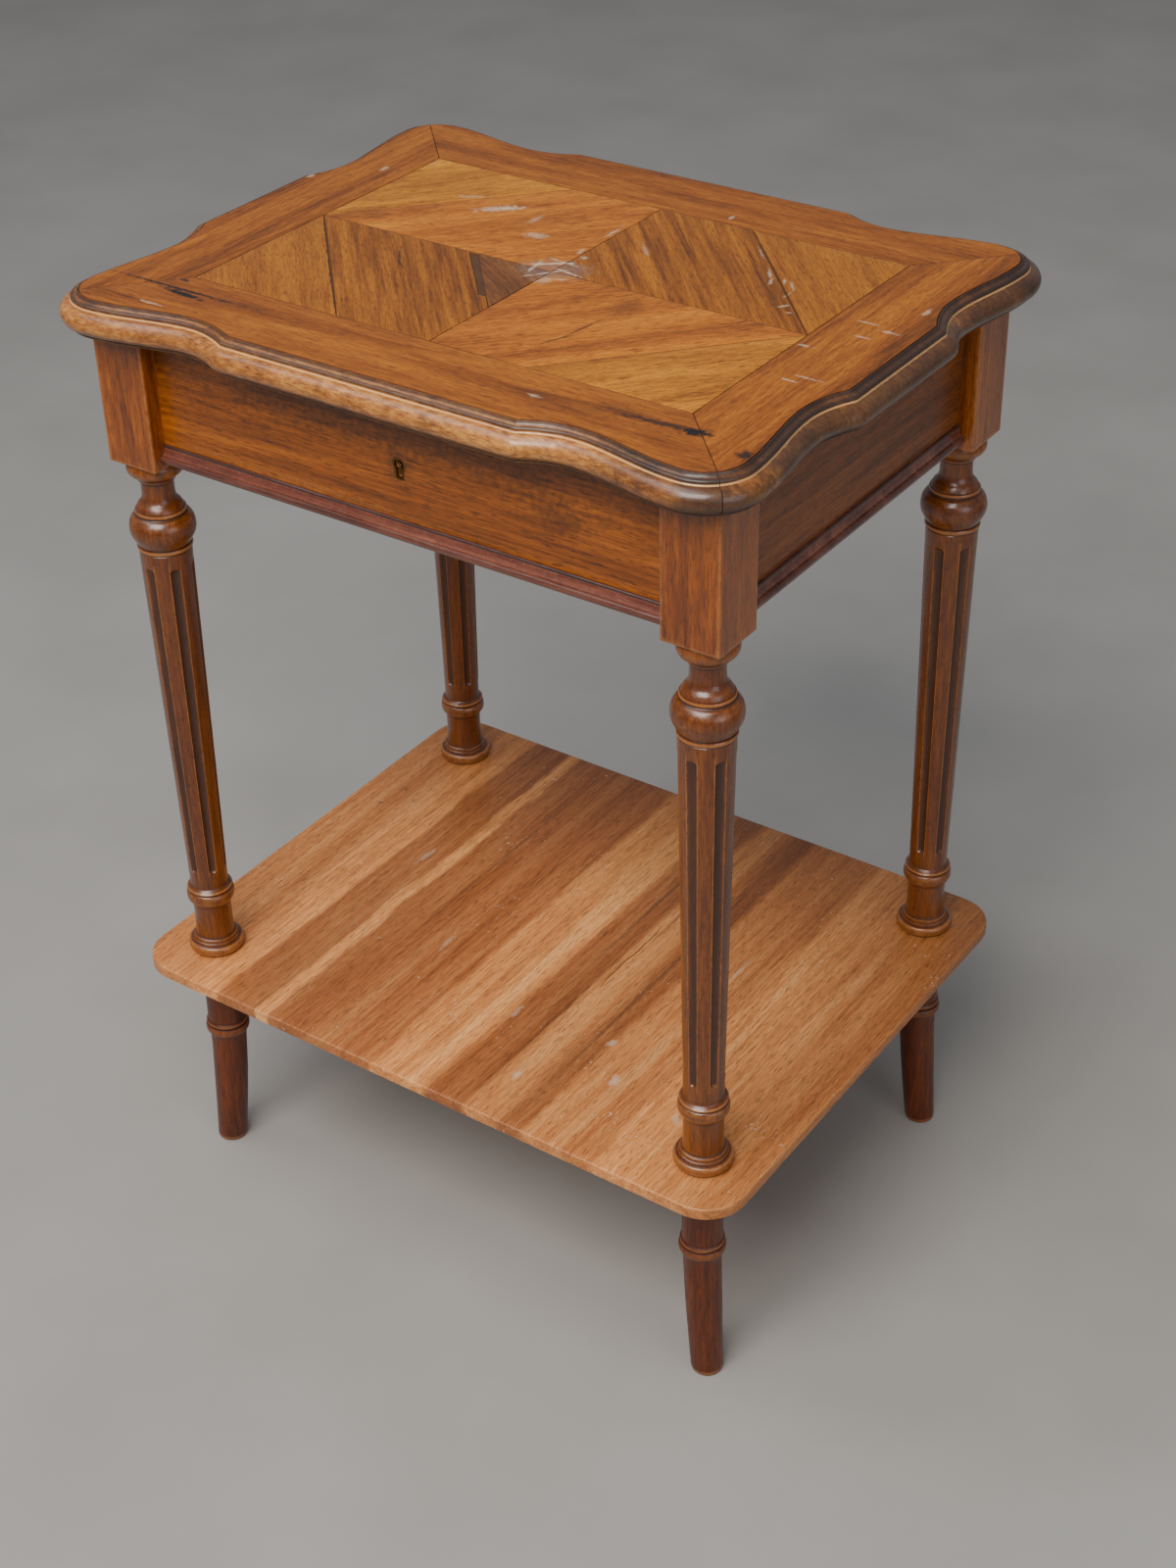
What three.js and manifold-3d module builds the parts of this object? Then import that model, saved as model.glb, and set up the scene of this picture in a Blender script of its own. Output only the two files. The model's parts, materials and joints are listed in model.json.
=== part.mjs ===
// A small French work table: a shallow box with a hinged, lockable lid, carried by four turned and
// fluted legs, with a thin shelf near the floor and four kicked feet under it.
// Millimetres, +Z up, floor at z = 0, X along the front, -Y towards the person who opens the lid.
import * as THREE from "three";
import { mergeVertices } from "three/addons/utils/BufferGeometryUtils.js";
import Module from "manifold-3d";

const wasm = await Module();
wasm.setup();

// ---- Overall sizes ----
const TABLE_HEIGHT = 704; // floor to the top of the veneer
const LID_LENGTH = 482; // veneered surface, left to right
const LID_DEPTH = 365; // veneered surface, front to back
const SHELF_HEIGHT = 187.5; // floor to the top of the shelf
const BOX_HEIGHT = 95.7; // height of the leg blocks

// ---- Fits ----
const JOINT_GAP = 0.3; // between pieces let into each other
const SEAM = 0.15; // each side of a veneer or mitre seam
const HINGE_PLAY = 0.06; // pin in its knuckles, on the radius

// ---- Legs, feet and shelf ----
const BLOCK_INSET_X = 9; // veneer's edge to the block's outer face
const BLOCK_INSET_Y = 10;
const BLOCK = 40; // square block that the rails join
const CUP_RADIUS = 19;
const NECK_RADIUS = 10.9;
const BULB_RADIUS = 22.1;
const SHAFT_TOP_RADIUS = 17.7;
const SHAFT_FOOT_RADIUS = 13.5;
const RING_RADIUS = 17.3;
const BASE_RING_RADIUS = 20.2;
const BASE_RING_SWELL = 2;
const RING_SWELL = 2.2;
const RING_HEIGHT = 10;
const THIN_BEAD_SWELL = 0.9;
const BASE_RING_TOP = 8; // heights over the shelf
const ANKLE_FOOT = 13.4;
const ANKLE_TOP = 42.6;
const SHAFT_FOOT = 57.2;
const CUP_RIM = 5; // depths under the block
const NECK_TOP = 15.4;
const NECK_FOOT = 29.6;
const BULB_TOP = 39.2;
const BULB_MIDDLE = 50;
const BULB_FOOT = 60.5;
const SHAFT_TOP = 66;
const FLUTES = 6;
const FLUTE_END_TOP = 10; // plain shaft left over and under the flutes
const FLUTE_END_FOOT = 14.3;
const FLUTE_DEPTH = 2.2;
const FLUTE_TOP_WIDTH = 7.4;
const FLUTE_FOOT_WIDTH = 5.7;
const LEG_PIN_RADIUS = 8; // turned pin through the shelf into the foot
const LEG_PIN_LENGTH = 30;
const PIN_CHAMFER = 1.2;
const SOCKET_SPARE = 3; // socket deeper than the pin
const FOOT_TOP_RADIUS = 14.3;
const FOOT_RING_RADIUS = 16.3;
const FOOT_WAIST_RADIUS = 13.1;
const FOOT_SOLE_RADIUS = 11.2;
const FOOT_RING_HEIGHT = 112;
const FOOT_KICK_X = 6.8;
const FOOT_KICK_Y = 3.2;
const SHELF_THICKNESS = 8.5;
const SHELF_MARGIN_X = 41; // leg axis to the shelf's edge
const SHELF_MARGIN_Y = 44.5;
const SHELF_CORNER = 30;
const SHELF_EASE = 1.2; // chamfer round the edge

// ---- Rails and box ----
const RAIL_THICKNESS = 16;
const RAIL_SETBACK = 12; // behind the block's face
const RAIL_RISE = 5.4; // rail's lower edge above the block's
const TENON_THICKNESS = 8;
const TENON_LENGTH = 14;
const TENON_SHOULDER = 10;
const BEAD_HEIGHT = 12;
const BEAD_DEPTH = 6.5;
const BOTTOM_THICKNESS = 6;
const BOTTOM_LIP = 7.5; // rail below the bottom board
const GROOVE_DEPTH = 5;
const PARTITION_THICKNESS = 5;
const PARTITION_HEIGHT = 56;
const PARTITION_X = 80.5; // centre line to each long partition
const HOUSING_DEPTH = 2.5;

// ---- Lid ----
const LID_THICKNESS = 23;
const LID_CLEARANCE = 0.3; // over the box
const VENEER = 1;
const BORDER_WIDTH = 57.5;
const FIELD_CUT_X = 70; // centre line to where the diagonal seams meet the long borders
const CORNER_RADIUS = 24.5;
const LONG_WAVE_START = 106; // centre line to the end of the long sides' straight part
const LONG_WAVE_RUN = 34;
const LONG_WAVE_DEPTH = 9.5;
const LONG_LOBE = 2.5;
const SHORT_WAVE_START = 52;
const SHORT_WAVE_RUN = 36;
const SHORT_WAVE_DEPTH = 10;
const SHORT_LOBE = -1.5;
const TORUS_RADIUS = 7.8;
const TORUS_CENTRE = 5.7; // outside the veneer's edge
const TORUS_DROP = 13.6; // below the top

// ---- Hinges ----
const HINGE_X = 75; // centre line to the middle of each hinge
const HINGE_LENGTH = 50;
const LEAF_WIDTH = 17;
const LEAF_THICKNESS = 1.2;
const KNUCKLE_RADIUS = 3.2;
const MIDDLE_KNUCKLE = 17.4;
const HINGE_PIN_RADIUS = 1.5;
const HINGE_STANDOFF = 3.5; // pin's axis behind the blocks
const HINGE_SCREW_SPREAD = 17;
const LEAF_SCREW_SHIFT = 1; // behind the middle of the rail
const LEAF_CUTBACK = 0.5; // plate to the other leaf's knuckles
const KNUCKLE_ROOM = 0.6; // round the knuckles in the lid

// ---- Lock ----
const KEY_DROP = 42.7; // rail's top to the key's axis
const KEY_RADIUS = 3.6;
const KEY_SLOT = 4.4;
const KEY_HEIGHT = 12;
const LINER_WALL = 1.2;
const LINER_DEPTH = 2;
const CASE_WIDTH = 51;
const CASE_DEPTH = 10;
const CASE_WALL = 1.5;
const CASE_BELOW_KEY = 18;
const FLANGE_WIDTH = 68;
const FLANGE_EDGE = 4; // lock screws to the flange's end
const LOCK_SCREW_RISE = 14; // over the key's axis
const BOLT_THICKNESS = 3;
const BOLT_BAR = 8;
const BOLT_DROP = 22.7; // rail's top to the bar's upper edge
const CLAW = 3.5;
const FINGER = 5;
const FINGER_HEIGHT = 4;
const EYE_SPREAD = 12;
const EYE_THICKNESS = 3;
const EYE_WIDTH = 5.5;
const EYE_REACH = 13;
const EYE_HOLE = 6;
const EYE_FOOT = 2.6; // metal under the eye's hole
const EYE_SLOT_PLAY = 0.6; // round the eyes where they enter the case
const EYE_CLEARANCE = 1; // finger's tip to the eye when unlocked
const BOLT_PLAY = 0.4; // each side of the bolt in the eyes
const GUIDE_RIB = 3; // ribs that the bolt's bar slides on
const GUIDE_PLAY = 0.2;
const TAIL_WIDTH = 6;
const STRIKE_LENGTH = 52;
const STRIKE_EDGE = 5; // strike screws to the plate's end

// ---- Screws ----
const SCREW_HEAD_RADIUS = 2.6;
const SCREW_HEAD = 1.6;
const SCREW_RADIUS = 1.3;
const SCREW_LENGTH = 12;
const SCREW_SLOT = 0.7;

// ---- Levels and places that follow ----
const LEG_X = LID_LENGTH / 2 - BLOCK_INSET_X - BLOCK / 2;
const LEG_Y = LID_DEPTH / 2 - BLOCK_INSET_Y - BLOCK / 2;
const LID_UNDER = TABLE_HEIGHT - LID_THICKNESS;
const BOX_TOP = LID_UNDER - LID_CLEARANCE;
const BLOCK_FOOT = BOX_TOP - BOX_HEIGHT;
const RAIL_FOOT = BLOCK_FOOT + RAIL_RISE;
const FLOOR_UNDER = RAIL_FOOT + BOTTOM_LIP;
const FLOOR_TOP = FLOOR_UNDER + BOTTOM_THICKNESS;
const SHELF_UNDER = SHELF_HEIGHT - SHELF_THICKNESS;
const INNER_X = LEG_X - BLOCK / 2; // blocks' facing sides
const INNER_Y = LEG_Y - BLOCK / 2;
const SIDE_FACE = LEG_X + BLOCK / 2 - RAIL_SETBACK;
const FRONT_FACE = LEG_Y + BLOCK / 2 - RAIL_SETBACK;
const REAR_FACE = LEG_Y + BLOCK / 2; // the rear rail is flush with the blocks
const BOX_X = SIDE_FACE - RAIL_THICKNESS; // inside faces of the rails
const BOX_FRONT = -(FRONT_FACE - RAIL_THICKNESS);
const BOX_REAR = REAR_FACE - RAIL_THICKNESS;
const PARTITION_TOP = FLOOR_TOP + PARTITION_HEIGHT;
const FIELD_X = LID_LENGTH / 2 - BORDER_WIDTH;
const FIELD_Y = LID_DEPTH / 2 - BORDER_WIDTH;
const CORE_TOP = TABLE_HEIGHT - VENEER;
const HINGE_Y = REAR_FACE + HINGE_STANDOFF;
const HINGE_Z = BOX_TOP + LID_CLEARANCE / 2;
const LEAF_SCREW_Y = REAR_FACE - RAIL_THICKNESS / 2 + LEAF_SCREW_SHIFT;
const KEY_Z = BOX_TOP - KEY_DROP;
const LOCK_Y = BOX_FRONT - CASE_DEPTH / 2;
const LOCK_SCREW_X = FLANGE_WIDTH / 2 - FLANGE_EDGE;
const LOCK_SCREW_Z = KEY_Z + LOCK_SCREW_RISE;
const STRIKE_SCREW_X = STRIKE_LENGTH / 2 - STRIKE_EDGE;

// ---- Materials ----
function varnished(color, roughness) {
  return new THREE.MeshStandardMaterial({ color, roughness, metalness: 0 });
}
function metal(color, roughness) {
  return new THREE.MeshStandardMaterial({ color, roughness, metalness: 1 });
}
const TURNED_WALNUT = varnished(0x7a4321, 0.42);
const SHELF_WALNUT = varnished(0xa86e40, 0.55);
const RAIL_VENEER = varnished(0x7d4f26, 0.45);
const BEAD_WALNUT = varnished(0x5a2c1c, 0.35);
const LID_MOULDING = varnished(0x9c6230, 0.35);
const LID_VENEER = varnished(0x9a6229, 0.4);
const LID_VENEER_DARK = varnished(0x86521f, 0.4);
const INSIDE_WOOD = varnished(0xc49a66, 0.65);
const BRASS = metal(0xa8843f, 0.4);
const STEEL = metal(0x6f6a64, 0.45);

// ---- Solids ----
function solid(geometry) {
  const bare = geometry.clone();
  bare.deleteAttribute("normal");
  bare.deleteAttribute("uv");
  const merged = mergeVertices(bare, 1e-4);
  const mesh = new wasm.Mesh({
    numProp: 3,
    vertProperties: merged.attributes.position.array,
    triVerts: new Uint32Array(merged.index.array),
  });
  return new wasm.Manifold(mesh);
}

function box(x0, x1, y0, y1, z0, z1) {
  const block = new THREE.BoxGeometry(x1 - x0, y1 - y0, z1 - z0);
  block.translate((x0 + x1) / 2, (y0 + y1) / 2, (z0 + z1) / 2);
  return solid(block);
}

function prism(points, z0, z1) {
  const shape = new THREE.Shape(points);
  const plate = new THREE.ExtrudeGeometry(shape, { depth: z1 - z0, bevelEnabled: false });
  plate.translate(0, 0, z0);
  return solid(plate);
}

// A turning about Z from [radius, height] pairs that climb from the axis back to the axis.
function turningGeometry(profile, segments) {
  const points = profile.map(([radius, height]) => new THREE.Vector2(radius, height));
  return new THREE.LatheGeometry(points, segments).rotateX(Math.PI / 2);
}

function turning(profile, segments = 16) {
  return solid(turningGeometry(profile, segments));
}

function cutAll(body, tools) {
  return tools.reduce((left, tool) => left.subtract(tool), body);
}

function joinAll(pieces) {
  return pieces.reduce((whole, piece) => whole.add(piece));
}

const table = new THREE.Group();
function place(name, body, material, position = [0, 0, 0]) {
  const made = body.getMesh();
  const geometry = new THREE.BufferGeometry();
  geometry.setAttribute("position", new THREE.BufferAttribute(made.vertProperties, 3));
  geometry.setIndex(new THREE.BufferAttribute(made.triVerts, 1));
  geometry.computeVertexNormals();
  const mesh = new THREE.Mesh(geometry, material);
  mesh.name = name;
  mesh.position.set(...position);
  table.add(mesh);
}

// The four corners: name, and the signs of x and y.
const CORNERS = [
  ["front_left", -1, -1],
  ["front_right", 1, -1],
  ["rear_left", -1, 1],
  ["rear_right", 1, 1],
];
const SIDES = [
  ["left", -1],
  ["right", 1],
];

// ---- Turned profiles ----
// Half a bead from z0 up to z1, standing out from the radius by the given amount.
function bead(radius, standOut, z0, z1, steps = 3) {
  const points = [];
  for (let i = 0; i <= steps; i++) {
    const turn = (Math.PI * i) / steps;
    const height = (z0 + z1) / 2 - (Math.cos(turn) * (z1 - z0)) / 2;
    points.push([radius + Math.sin(turn) * standOut, height]);
  }
  return points;
}

// The plain pin under the leg, then the base ring, its fillets, the ankle and the ring above it.
function legFootProfile() {
  const z = SHELF_HEIGHT;
  const pinFoot = SHELF_UNDER - LEG_PIN_LENGTH;
  const ankle = SHAFT_FOOT_RADIUS + 0.2;
  const ringFoot = z + ANKLE_TOP + 0.8;
  return [
    [0, pinFoot],
    [LEG_PIN_RADIUS - PIN_CHAMFER, pinFoot],
    [LEG_PIN_RADIUS, pinFoot + PIN_CHAMFER],
    [LEG_PIN_RADIUS, z],
    [BASE_RING_RADIUS - BASE_RING_SWELL, z],
    ...bead(BASE_RING_RADIUS - BASE_RING_SWELL, BASE_RING_SWELL, z + 0.8, z + BASE_RING_TOP),
    [BASE_RING_RADIUS - 3.4, z + BASE_RING_TOP + 0.6],
    [BASE_RING_RADIUS - 3.4, z + BASE_RING_TOP + 2],
    [BASE_RING_RADIUS - 4.6, z + BASE_RING_TOP + 2.6],
    [BASE_RING_RADIUS - 4.6, z + ANKLE_FOOT - 1],
    [ankle, z + ANKLE_FOOT],
    [ankle, z + ANKLE_TOP],
    ...bead(RING_RADIUS - RING_SWELL, RING_SWELL, ringFoot, ringFoot + RING_HEIGHT),
    [RING_RADIUS - 1.4, ringFoot + RING_HEIGHT + 0.6],
    [RING_RADIUS - 0.8, ringFoot + RING_HEIGHT + 2],
    [SHAFT_FOOT_RADIUS, z + SHAFT_FOOT],
  ];
}

// From the top of the tapering shaft: thin bead, bulb, two fillets, flared shoulder, neck and cup.
function legHeadProfile() {
  const z = BLOCK_FOOT;
  const swell = BULB_RADIUS - SHAFT_TOP_RADIUS;
  return [
    [SHAFT_TOP_RADIUS, z - SHAFT_TOP],
    ...bead(SHAFT_TOP_RADIUS, THIN_BEAD_SWELL, z - SHAFT_TOP + 1, z - SHAFT_TOP + 4, 2),
    [SHAFT_TOP_RADIUS + swell * 0.14, z - BULB_FOOT],
    [SHAFT_TOP_RADIUS + swell * 0.68, z - (BULB_FOOT * 0.57 + BULB_MIDDLE * 0.43)],
    [BULB_RADIUS, z - BULB_MIDDLE],
    [BULB_RADIUS - swell * 0.2, z - (BULB_MIDDLE * 0.45 + BULB_TOP * 0.55)],
    [BULB_RADIUS - swell, z - BULB_TOP],
    [BULB_RADIUS - swell * 1.2, z - BULB_TOP + 0.6],
    [BULB_RADIUS - swell * 1.15, z - BULB_TOP + 2.8],
    [BULB_RADIUS - swell * 1.5, z - BULB_TOP + 5.2],
    [NECK_RADIUS + 2.6, z - NECK_FOOT - 1.8],
    [NECK_RADIUS + 0.6, z - NECK_FOOT],
    [NECK_RADIUS, z - NECK_FOOT + 3.6],
    [NECK_RADIUS, z - NECK_TOP],
    [NECK_RADIUS + 1.7, z - NECK_TOP + 0.4],
    [NECK_RADIUS + 1.9, z - NECK_TOP + 1.8],
    [CUP_RADIUS - 2.4, z - CUP_RIM - 5.4],
    [CUP_RADIUS, z - CUP_RIM],
    [CUP_RADIUS, z + 4],
    [0, z + 4],
  ];
}

const FLUTE_TOP = BLOCK_FOOT - SHAFT_TOP - FLUTE_END_TOP;
const FLUTE_FOOT = SHELF_HEIGHT + SHAFT_FOOT + FLUTE_END_FOOT;

function shaftRadius(z) {
  const low = SHELF_HEIGHT + SHAFT_FOOT;
  const high = BLOCK_FOOT - SHAFT_TOP;
  return THREE.MathUtils.lerp(SHAFT_FOOT_RADIUS, SHAFT_TOP_RADIUS, (z - low) / (high - low));
}

// The round cutter whose bite is the given width and depth.
function fluteCutterRadius(width, depth) {
  return (width * width) / (8 * depth) + depth / 2;
}

// A slim round-ended cone laid along the shaft, that cuts one flute.
function fluteCutter(angle) {
  const top = fluteCutterRadius(FLUTE_TOP_WIDTH, FLUTE_DEPTH);
  const foot = fluteCutterRadius(FLUTE_FOOT_WIDTH, FLUTE_DEPTH * 0.8);
  const outTop = shaftRadius(FLUTE_TOP) + top - FLUTE_DEPTH;
  const outFoot = shaftRadius(FLUTE_FOOT) + foot - FLUTE_DEPTH * 0.8;
  const length = FLUTE_TOP - FLUTE_FOOT;
  const cutter = turningGeometry(
    [
      [0, 0],
      [foot * 0.7, foot * 0.35],
      [foot, foot],
      [top, length - top],
      [top * 0.7, length - top * 0.35],
      [0, length],
    ],
    7,
  );
  cutter.rotateY(Math.atan2(outTop - outFoot, length));
  cutter.translate(outFoot, 0, FLUTE_FOOT);
  cutter.rotateZ(angle);
  return solid(cutter);
}

// ---- Joinery shared by the legs and the rails ----
// The tenon at one end of a front or rear rail, grown by a clearance.
function longTenon(signX, faceY, signY, grow) {
  const middle = signY * (faceY - RAIL_THICKNESS / 2);
  const ends = [signX * (INNER_X - 1 - grow), signX * (INNER_X + TENON_LENGTH + grow)];
  return box(
    Math.min(...ends),
    Math.max(...ends),
    middle - TENON_THICKNESS / 2 - grow,
    middle + TENON_THICKNESS / 2 + grow,
    RAIL_FOOT + TENON_SHOULDER - grow,
    BOX_TOP - TENON_SHOULDER + grow,
  );
}

// The same for a side rail.
function sideTenon(signX, signY, grow) {
  const middle = signX * (SIDE_FACE - RAIL_THICKNESS / 2);
  const ends = [signY * (INNER_Y - 1 - grow), signY * (INNER_Y + TENON_LENGTH + grow)];
  return box(
    middle - TENON_THICKNESS / 2 - grow,
    middle + TENON_THICKNESS / 2 + grow,
    Math.min(...ends),
    Math.max(...ends),
    RAIL_FOOT + TENON_SHOULDER - grow,
    BOX_TOP - TENON_SHOULDER + grow,
  );
}

function legBody() {
  const turned = turning([...legFootProfile(), ...legHeadProfile()]);
  const half = BLOCK / 2;
  const block = box(-half, half, -half, half, BLOCK_FOOT, BOX_TOP);
  const cutters = [];
  for (let i = 0; i < FLUTES; i++) {
    cutters.push(fluteCutter(-Math.PI / 2 + (i * 2 * Math.PI) / FLUTES));
  }
  return cutAll(turned.add(block), cutters);
}

function addLegs() {
  const plain = legBody();
  for (const [corner, signX, signY] of CORNERS) {
    const centre = [signX * LEG_X, signY * LEG_Y, 0];
    const faceY = signY < 0 ? FRONT_FACE : REAR_FACE;
    const back = [-centre[0], -centre[1], 0];
    const mortises = [
      longTenon(signX, faceY, signY, JOINT_GAP).translate(back),
      sideTenon(signX, signY, JOINT_GAP).translate(back),
    ];
    place("leg_" + corner, cutAll(plain, mortises), TURNED_WALNUT, centre);
  }
}

// ---- Feet ----
function footProfile() {
  const ring = FOOT_RING_HEIGHT;
  const below = [1, 0.75, 0.5, 0.25].map((share) => [
    THREE.MathUtils.lerp(FOOT_SOLE_RADIUS, FOOT_WAIST_RADIUS, share),
    (ring - 6) * share,
  ]);
  return [
    [0, 0],
    [FOOT_SOLE_RADIUS - 2, 0],
    [FOOT_SOLE_RADIUS, 2.5],
    ...below.reverse(),
    [FOOT_RING_RADIUS - 1, ring - 4],
    [FOOT_RING_RADIUS, ring],
    [FOOT_RING_RADIUS - 0.6, ring + 2.5],
    [FOOT_RING_RADIUS - 1.6, ring + 3],
    [FOOT_RING_RADIUS - 1, ring + 5],
    [FOOT_TOP_RADIUS, ring + 6.4],
    [FOOT_TOP_RADIUS, SHELF_UNDER],
    [0, SHELF_UNDER],
  ];
}

// The foot leans outwards below its ring, more the nearer it comes to the floor.
function kicked(geometry, signX, signY) {
  const position = geometry.attributes.position;
  for (let i = 0; i < position.count; i++) {
    const drop = Math.max(0, 1 - position.getZ(i) / (FOOT_RING_HEIGHT - 4));
    const kick = Math.pow(drop, 1.3);
    position.setX(i, position.getX(i) + signX * FOOT_KICK_X * kick);
    position.setY(i, position.getY(i) + signY * FOOT_KICK_Y * kick);
  }
  return geometry;
}

function addFeet() {
  const depth = LEG_PIN_LENGTH + SOCKET_SPARE;
  const radius = LEG_PIN_RADIUS + JOINT_GAP;
  const socket = turning([
    [0, SHELF_UNDER - depth],
    [radius, SHELF_UNDER - depth],
    [radius, SHELF_UNDER + 1],
    [0, SHELF_UNDER + 1],
  ]);
  for (const [corner, signX, signY] of CORNERS) {
    const foot = solid(kicked(turningGeometry(footProfile(), 16), signX, signY));
    const centre = [signX * LEG_X, signY * LEG_Y, 0];
    place("foot_" + corner, foot.subtract(socket), TURNED_WALNUT, centre);
  }
}

// ---- Shelf ----
function addShelf() {
  const x = LEG_X + SHELF_MARGIN_X;
  const y = LEG_Y + SHELF_MARGIN_Y;
  const outline = new THREE.Shape();
  outline.moveTo(-x + SHELF_CORNER, -y);
  outline.lineTo(x - SHELF_CORNER, -y);
  outline.absarc(x - SHELF_CORNER, -y + SHELF_CORNER, SHELF_CORNER, -Math.PI / 2, 0);
  outline.lineTo(x, y - SHELF_CORNER);
  outline.absarc(x - SHELF_CORNER, y - SHELF_CORNER, SHELF_CORNER, 0, Math.PI / 2);
  outline.lineTo(-x + SHELF_CORNER, y);
  outline.absarc(-x + SHELF_CORNER, y - SHELF_CORNER, SHELF_CORNER, Math.PI / 2, Math.PI);
  outline.lineTo(-x, -y + SHELF_CORNER);
  outline.absarc(-x + SHELF_CORNER, -y + SHELF_CORNER, SHELF_CORNER, Math.PI, 1.5 * Math.PI);
  const ease = SHELF_EASE;
  const board = new THREE.ExtrudeGeometry(outline, {
    depth: SHELF_THICKNESS - 2 * ease,
    bevelSize: ease,
    bevelOffset: -ease,
    bevelThickness: ease,
    bevelSegments: 1,
    curveSegments: 5,
  });
  board.translate(0, 0, SHELF_UNDER + ease);
  const radius = LEG_PIN_RADIUS + JOINT_GAP;
  const holes = CORNERS.map(([, signX, signY]) =>
    turning([
      [0, SHELF_UNDER - 1],
      [radius, SHELF_UNDER - 1],
      [radius, SHELF_HEIGHT + 1],
      [0, SHELF_HEIGHT + 1],
    ]).translate([signX * LEG_X, signY * LEG_Y, 0]),
  );
  place("shelf", cutAll(solid(board), holes), SHELF_WALNUT);
}

// ---- Box ----
function bottomBoard(grow) {
  const reach = GROOVE_DEPTH - JOINT_GAP + grow;
  return box(
    -BOX_X - reach,
    BOX_X + reach,
    BOX_FRONT - reach,
    BOX_REAR + reach,
    FLOOR_UNDER - grow,
    FLOOR_TOP + grow,
  );
}

function longPartition(signX, grow) {
  const reach = HOUSING_DEPTH - JOINT_GAP + grow;
  return box(
    signX * PARTITION_X - PARTITION_THICKNESS / 2 - grow,
    signX * PARTITION_X + PARTITION_THICKNESS / 2 + grow,
    BOX_FRONT - reach,
    BOX_REAR + reach,
    FLOOR_TOP,
    PARTITION_TOP + grow,
  );
}

function crossPartition(signX, grow) {
  const near = PARTITION_X + PARTITION_THICKNESS / 2;
  const far = BOX_X + HOUSING_DEPTH - JOINT_GAP + grow;
  const middle = (BOX_FRONT + BOX_REAR) / 2;
  return box(
    signX < 0 ? -far : near,
    signX < 0 ? -near : far,
    middle - PARTITION_THICKNESS / 2 - grow,
    middle + PARTITION_THICKNESS / 2 + grow,
    FLOOR_TOP,
    PARTITION_TOP + grow,
  );
}

// The keyhole's outline in the rail's plane, with its round part centred on the key.
function keyholePoints(grow) {
  const radius = KEY_RADIUS + grow;
  const half = KEY_SLOT / 2 + grow;
  const opening = Math.asin(half / radius);
  const points = [];
  for (let i = 0; i <= 10; i++) {
    const turn = -Math.PI / 2 + opening + ((2 * Math.PI - 2 * opening) * i) / 10;
    points.push(new THREE.Vector2(radius * Math.cos(turn), radius * Math.sin(turn)));
  }
  const foot = KEY_RADIUS - KEY_HEIGHT - grow;
  points.push(new THREE.Vector2(-half, foot), new THREE.Vector2(half, foot));
  return points;
}

// The keyhole as a prism through the front, from y0 back to y1.
function keyhole(grow, y0, y1) {
  return prism(keyholePoints(grow), 0, y1 - y0)
    .rotate([90, 0, 0])
    .translate([0, y1, KEY_Z]);
}

function lockMortise() {
  const gap = JOINT_GAP;
  const side = CASE_WIDTH / 2 + gap;
  const flange = FLANGE_WIDTH / 2 + gap;
  const depth = BOX_FRONT - CASE_DEPTH - gap;
  return [
    box(-side, side, depth, BOX_FRONT + 1, KEY_Z - CASE_BELOW_KEY - gap, BOX_TOP + 1),
    box(-flange, flange, depth, BOX_FRONT + 1, BOX_TOP - CASE_WALL - gap, BOX_TOP + 1),
    box(-flange, flange, BOX_FRONT - CASE_WALL - gap, BOX_FRONT + 1, KEY_Z - gap, BOX_TOP + 1),
  ];
}

function addFrontRail() {
  const rail = box(-INNER_X, INNER_X, -FRONT_FACE, BOX_FRONT, RAIL_FOOT, BOX_TOP);
  const tenons = [-1, 1].map((signX) => longTenon(signX, FRONT_FACE, -1, 0));
  const cuts = [
    bottomBoard(JOINT_GAP),
    longPartition(-1, JOINT_GAP),
    longPartition(1, JOINT_GAP),
    ...lockMortise(),
    keyhole(0, -FRONT_FACE - 1, BOX_FRONT),
    keyhole(LINER_WALL + JOINT_GAP, -FRONT_FACE - 1, -FRONT_FACE + LINER_DEPTH + JOINT_GAP),
    ...LOCK_SCREWS.map(([x, z]) => lockScrew(x, z, JOINT_GAP)),
  ];
  place("rail_front", cutAll(joinAll([rail, ...tenons]), cuts), RAIL_VENEER);
}

function addRearRail() {
  const rail = box(-INNER_X, INNER_X, BOX_REAR, REAR_FACE, RAIL_FOOT, BOX_TOP);
  const tenons = [-1, 1].map((signX) => longTenon(signX, REAR_FACE, 1, 0));
  const cuts = [
    bottomBoard(JOINT_GAP),
    longPartition(-1, JOINT_GAP),
    longPartition(1, JOINT_GAP),
  ];
  for (const [, signX] of SIDES) {
    cuts.push(leafRecess(signX, -1));
    cuts.push(...leafScrews(signX, -1, JOINT_GAP));
  }
  place("rail_rear", cutAll(joinAll([rail, ...tenons]), cuts), RAIL_VENEER);
}

function addSideRails() {
  for (const [side, signX] of SIDES) {
    const faces = [signX * BOX_X, signX * SIDE_FACE].sort((a, b) => a - b);
    const rail = box(faces[0], faces[1], -INNER_Y, INNER_Y, RAIL_FOOT, BOX_TOP);
    const tenons = [-1, 1].map((signY) => sideTenon(signX, signY, 0));
    const cuts = [bottomBoard(JOINT_GAP), crossPartition(signX, JOINT_GAP)];
    place("rail_" + side, cutAll(joinAll([rail, ...tenons]), cuts), RAIL_VENEER);
  }
}

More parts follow.
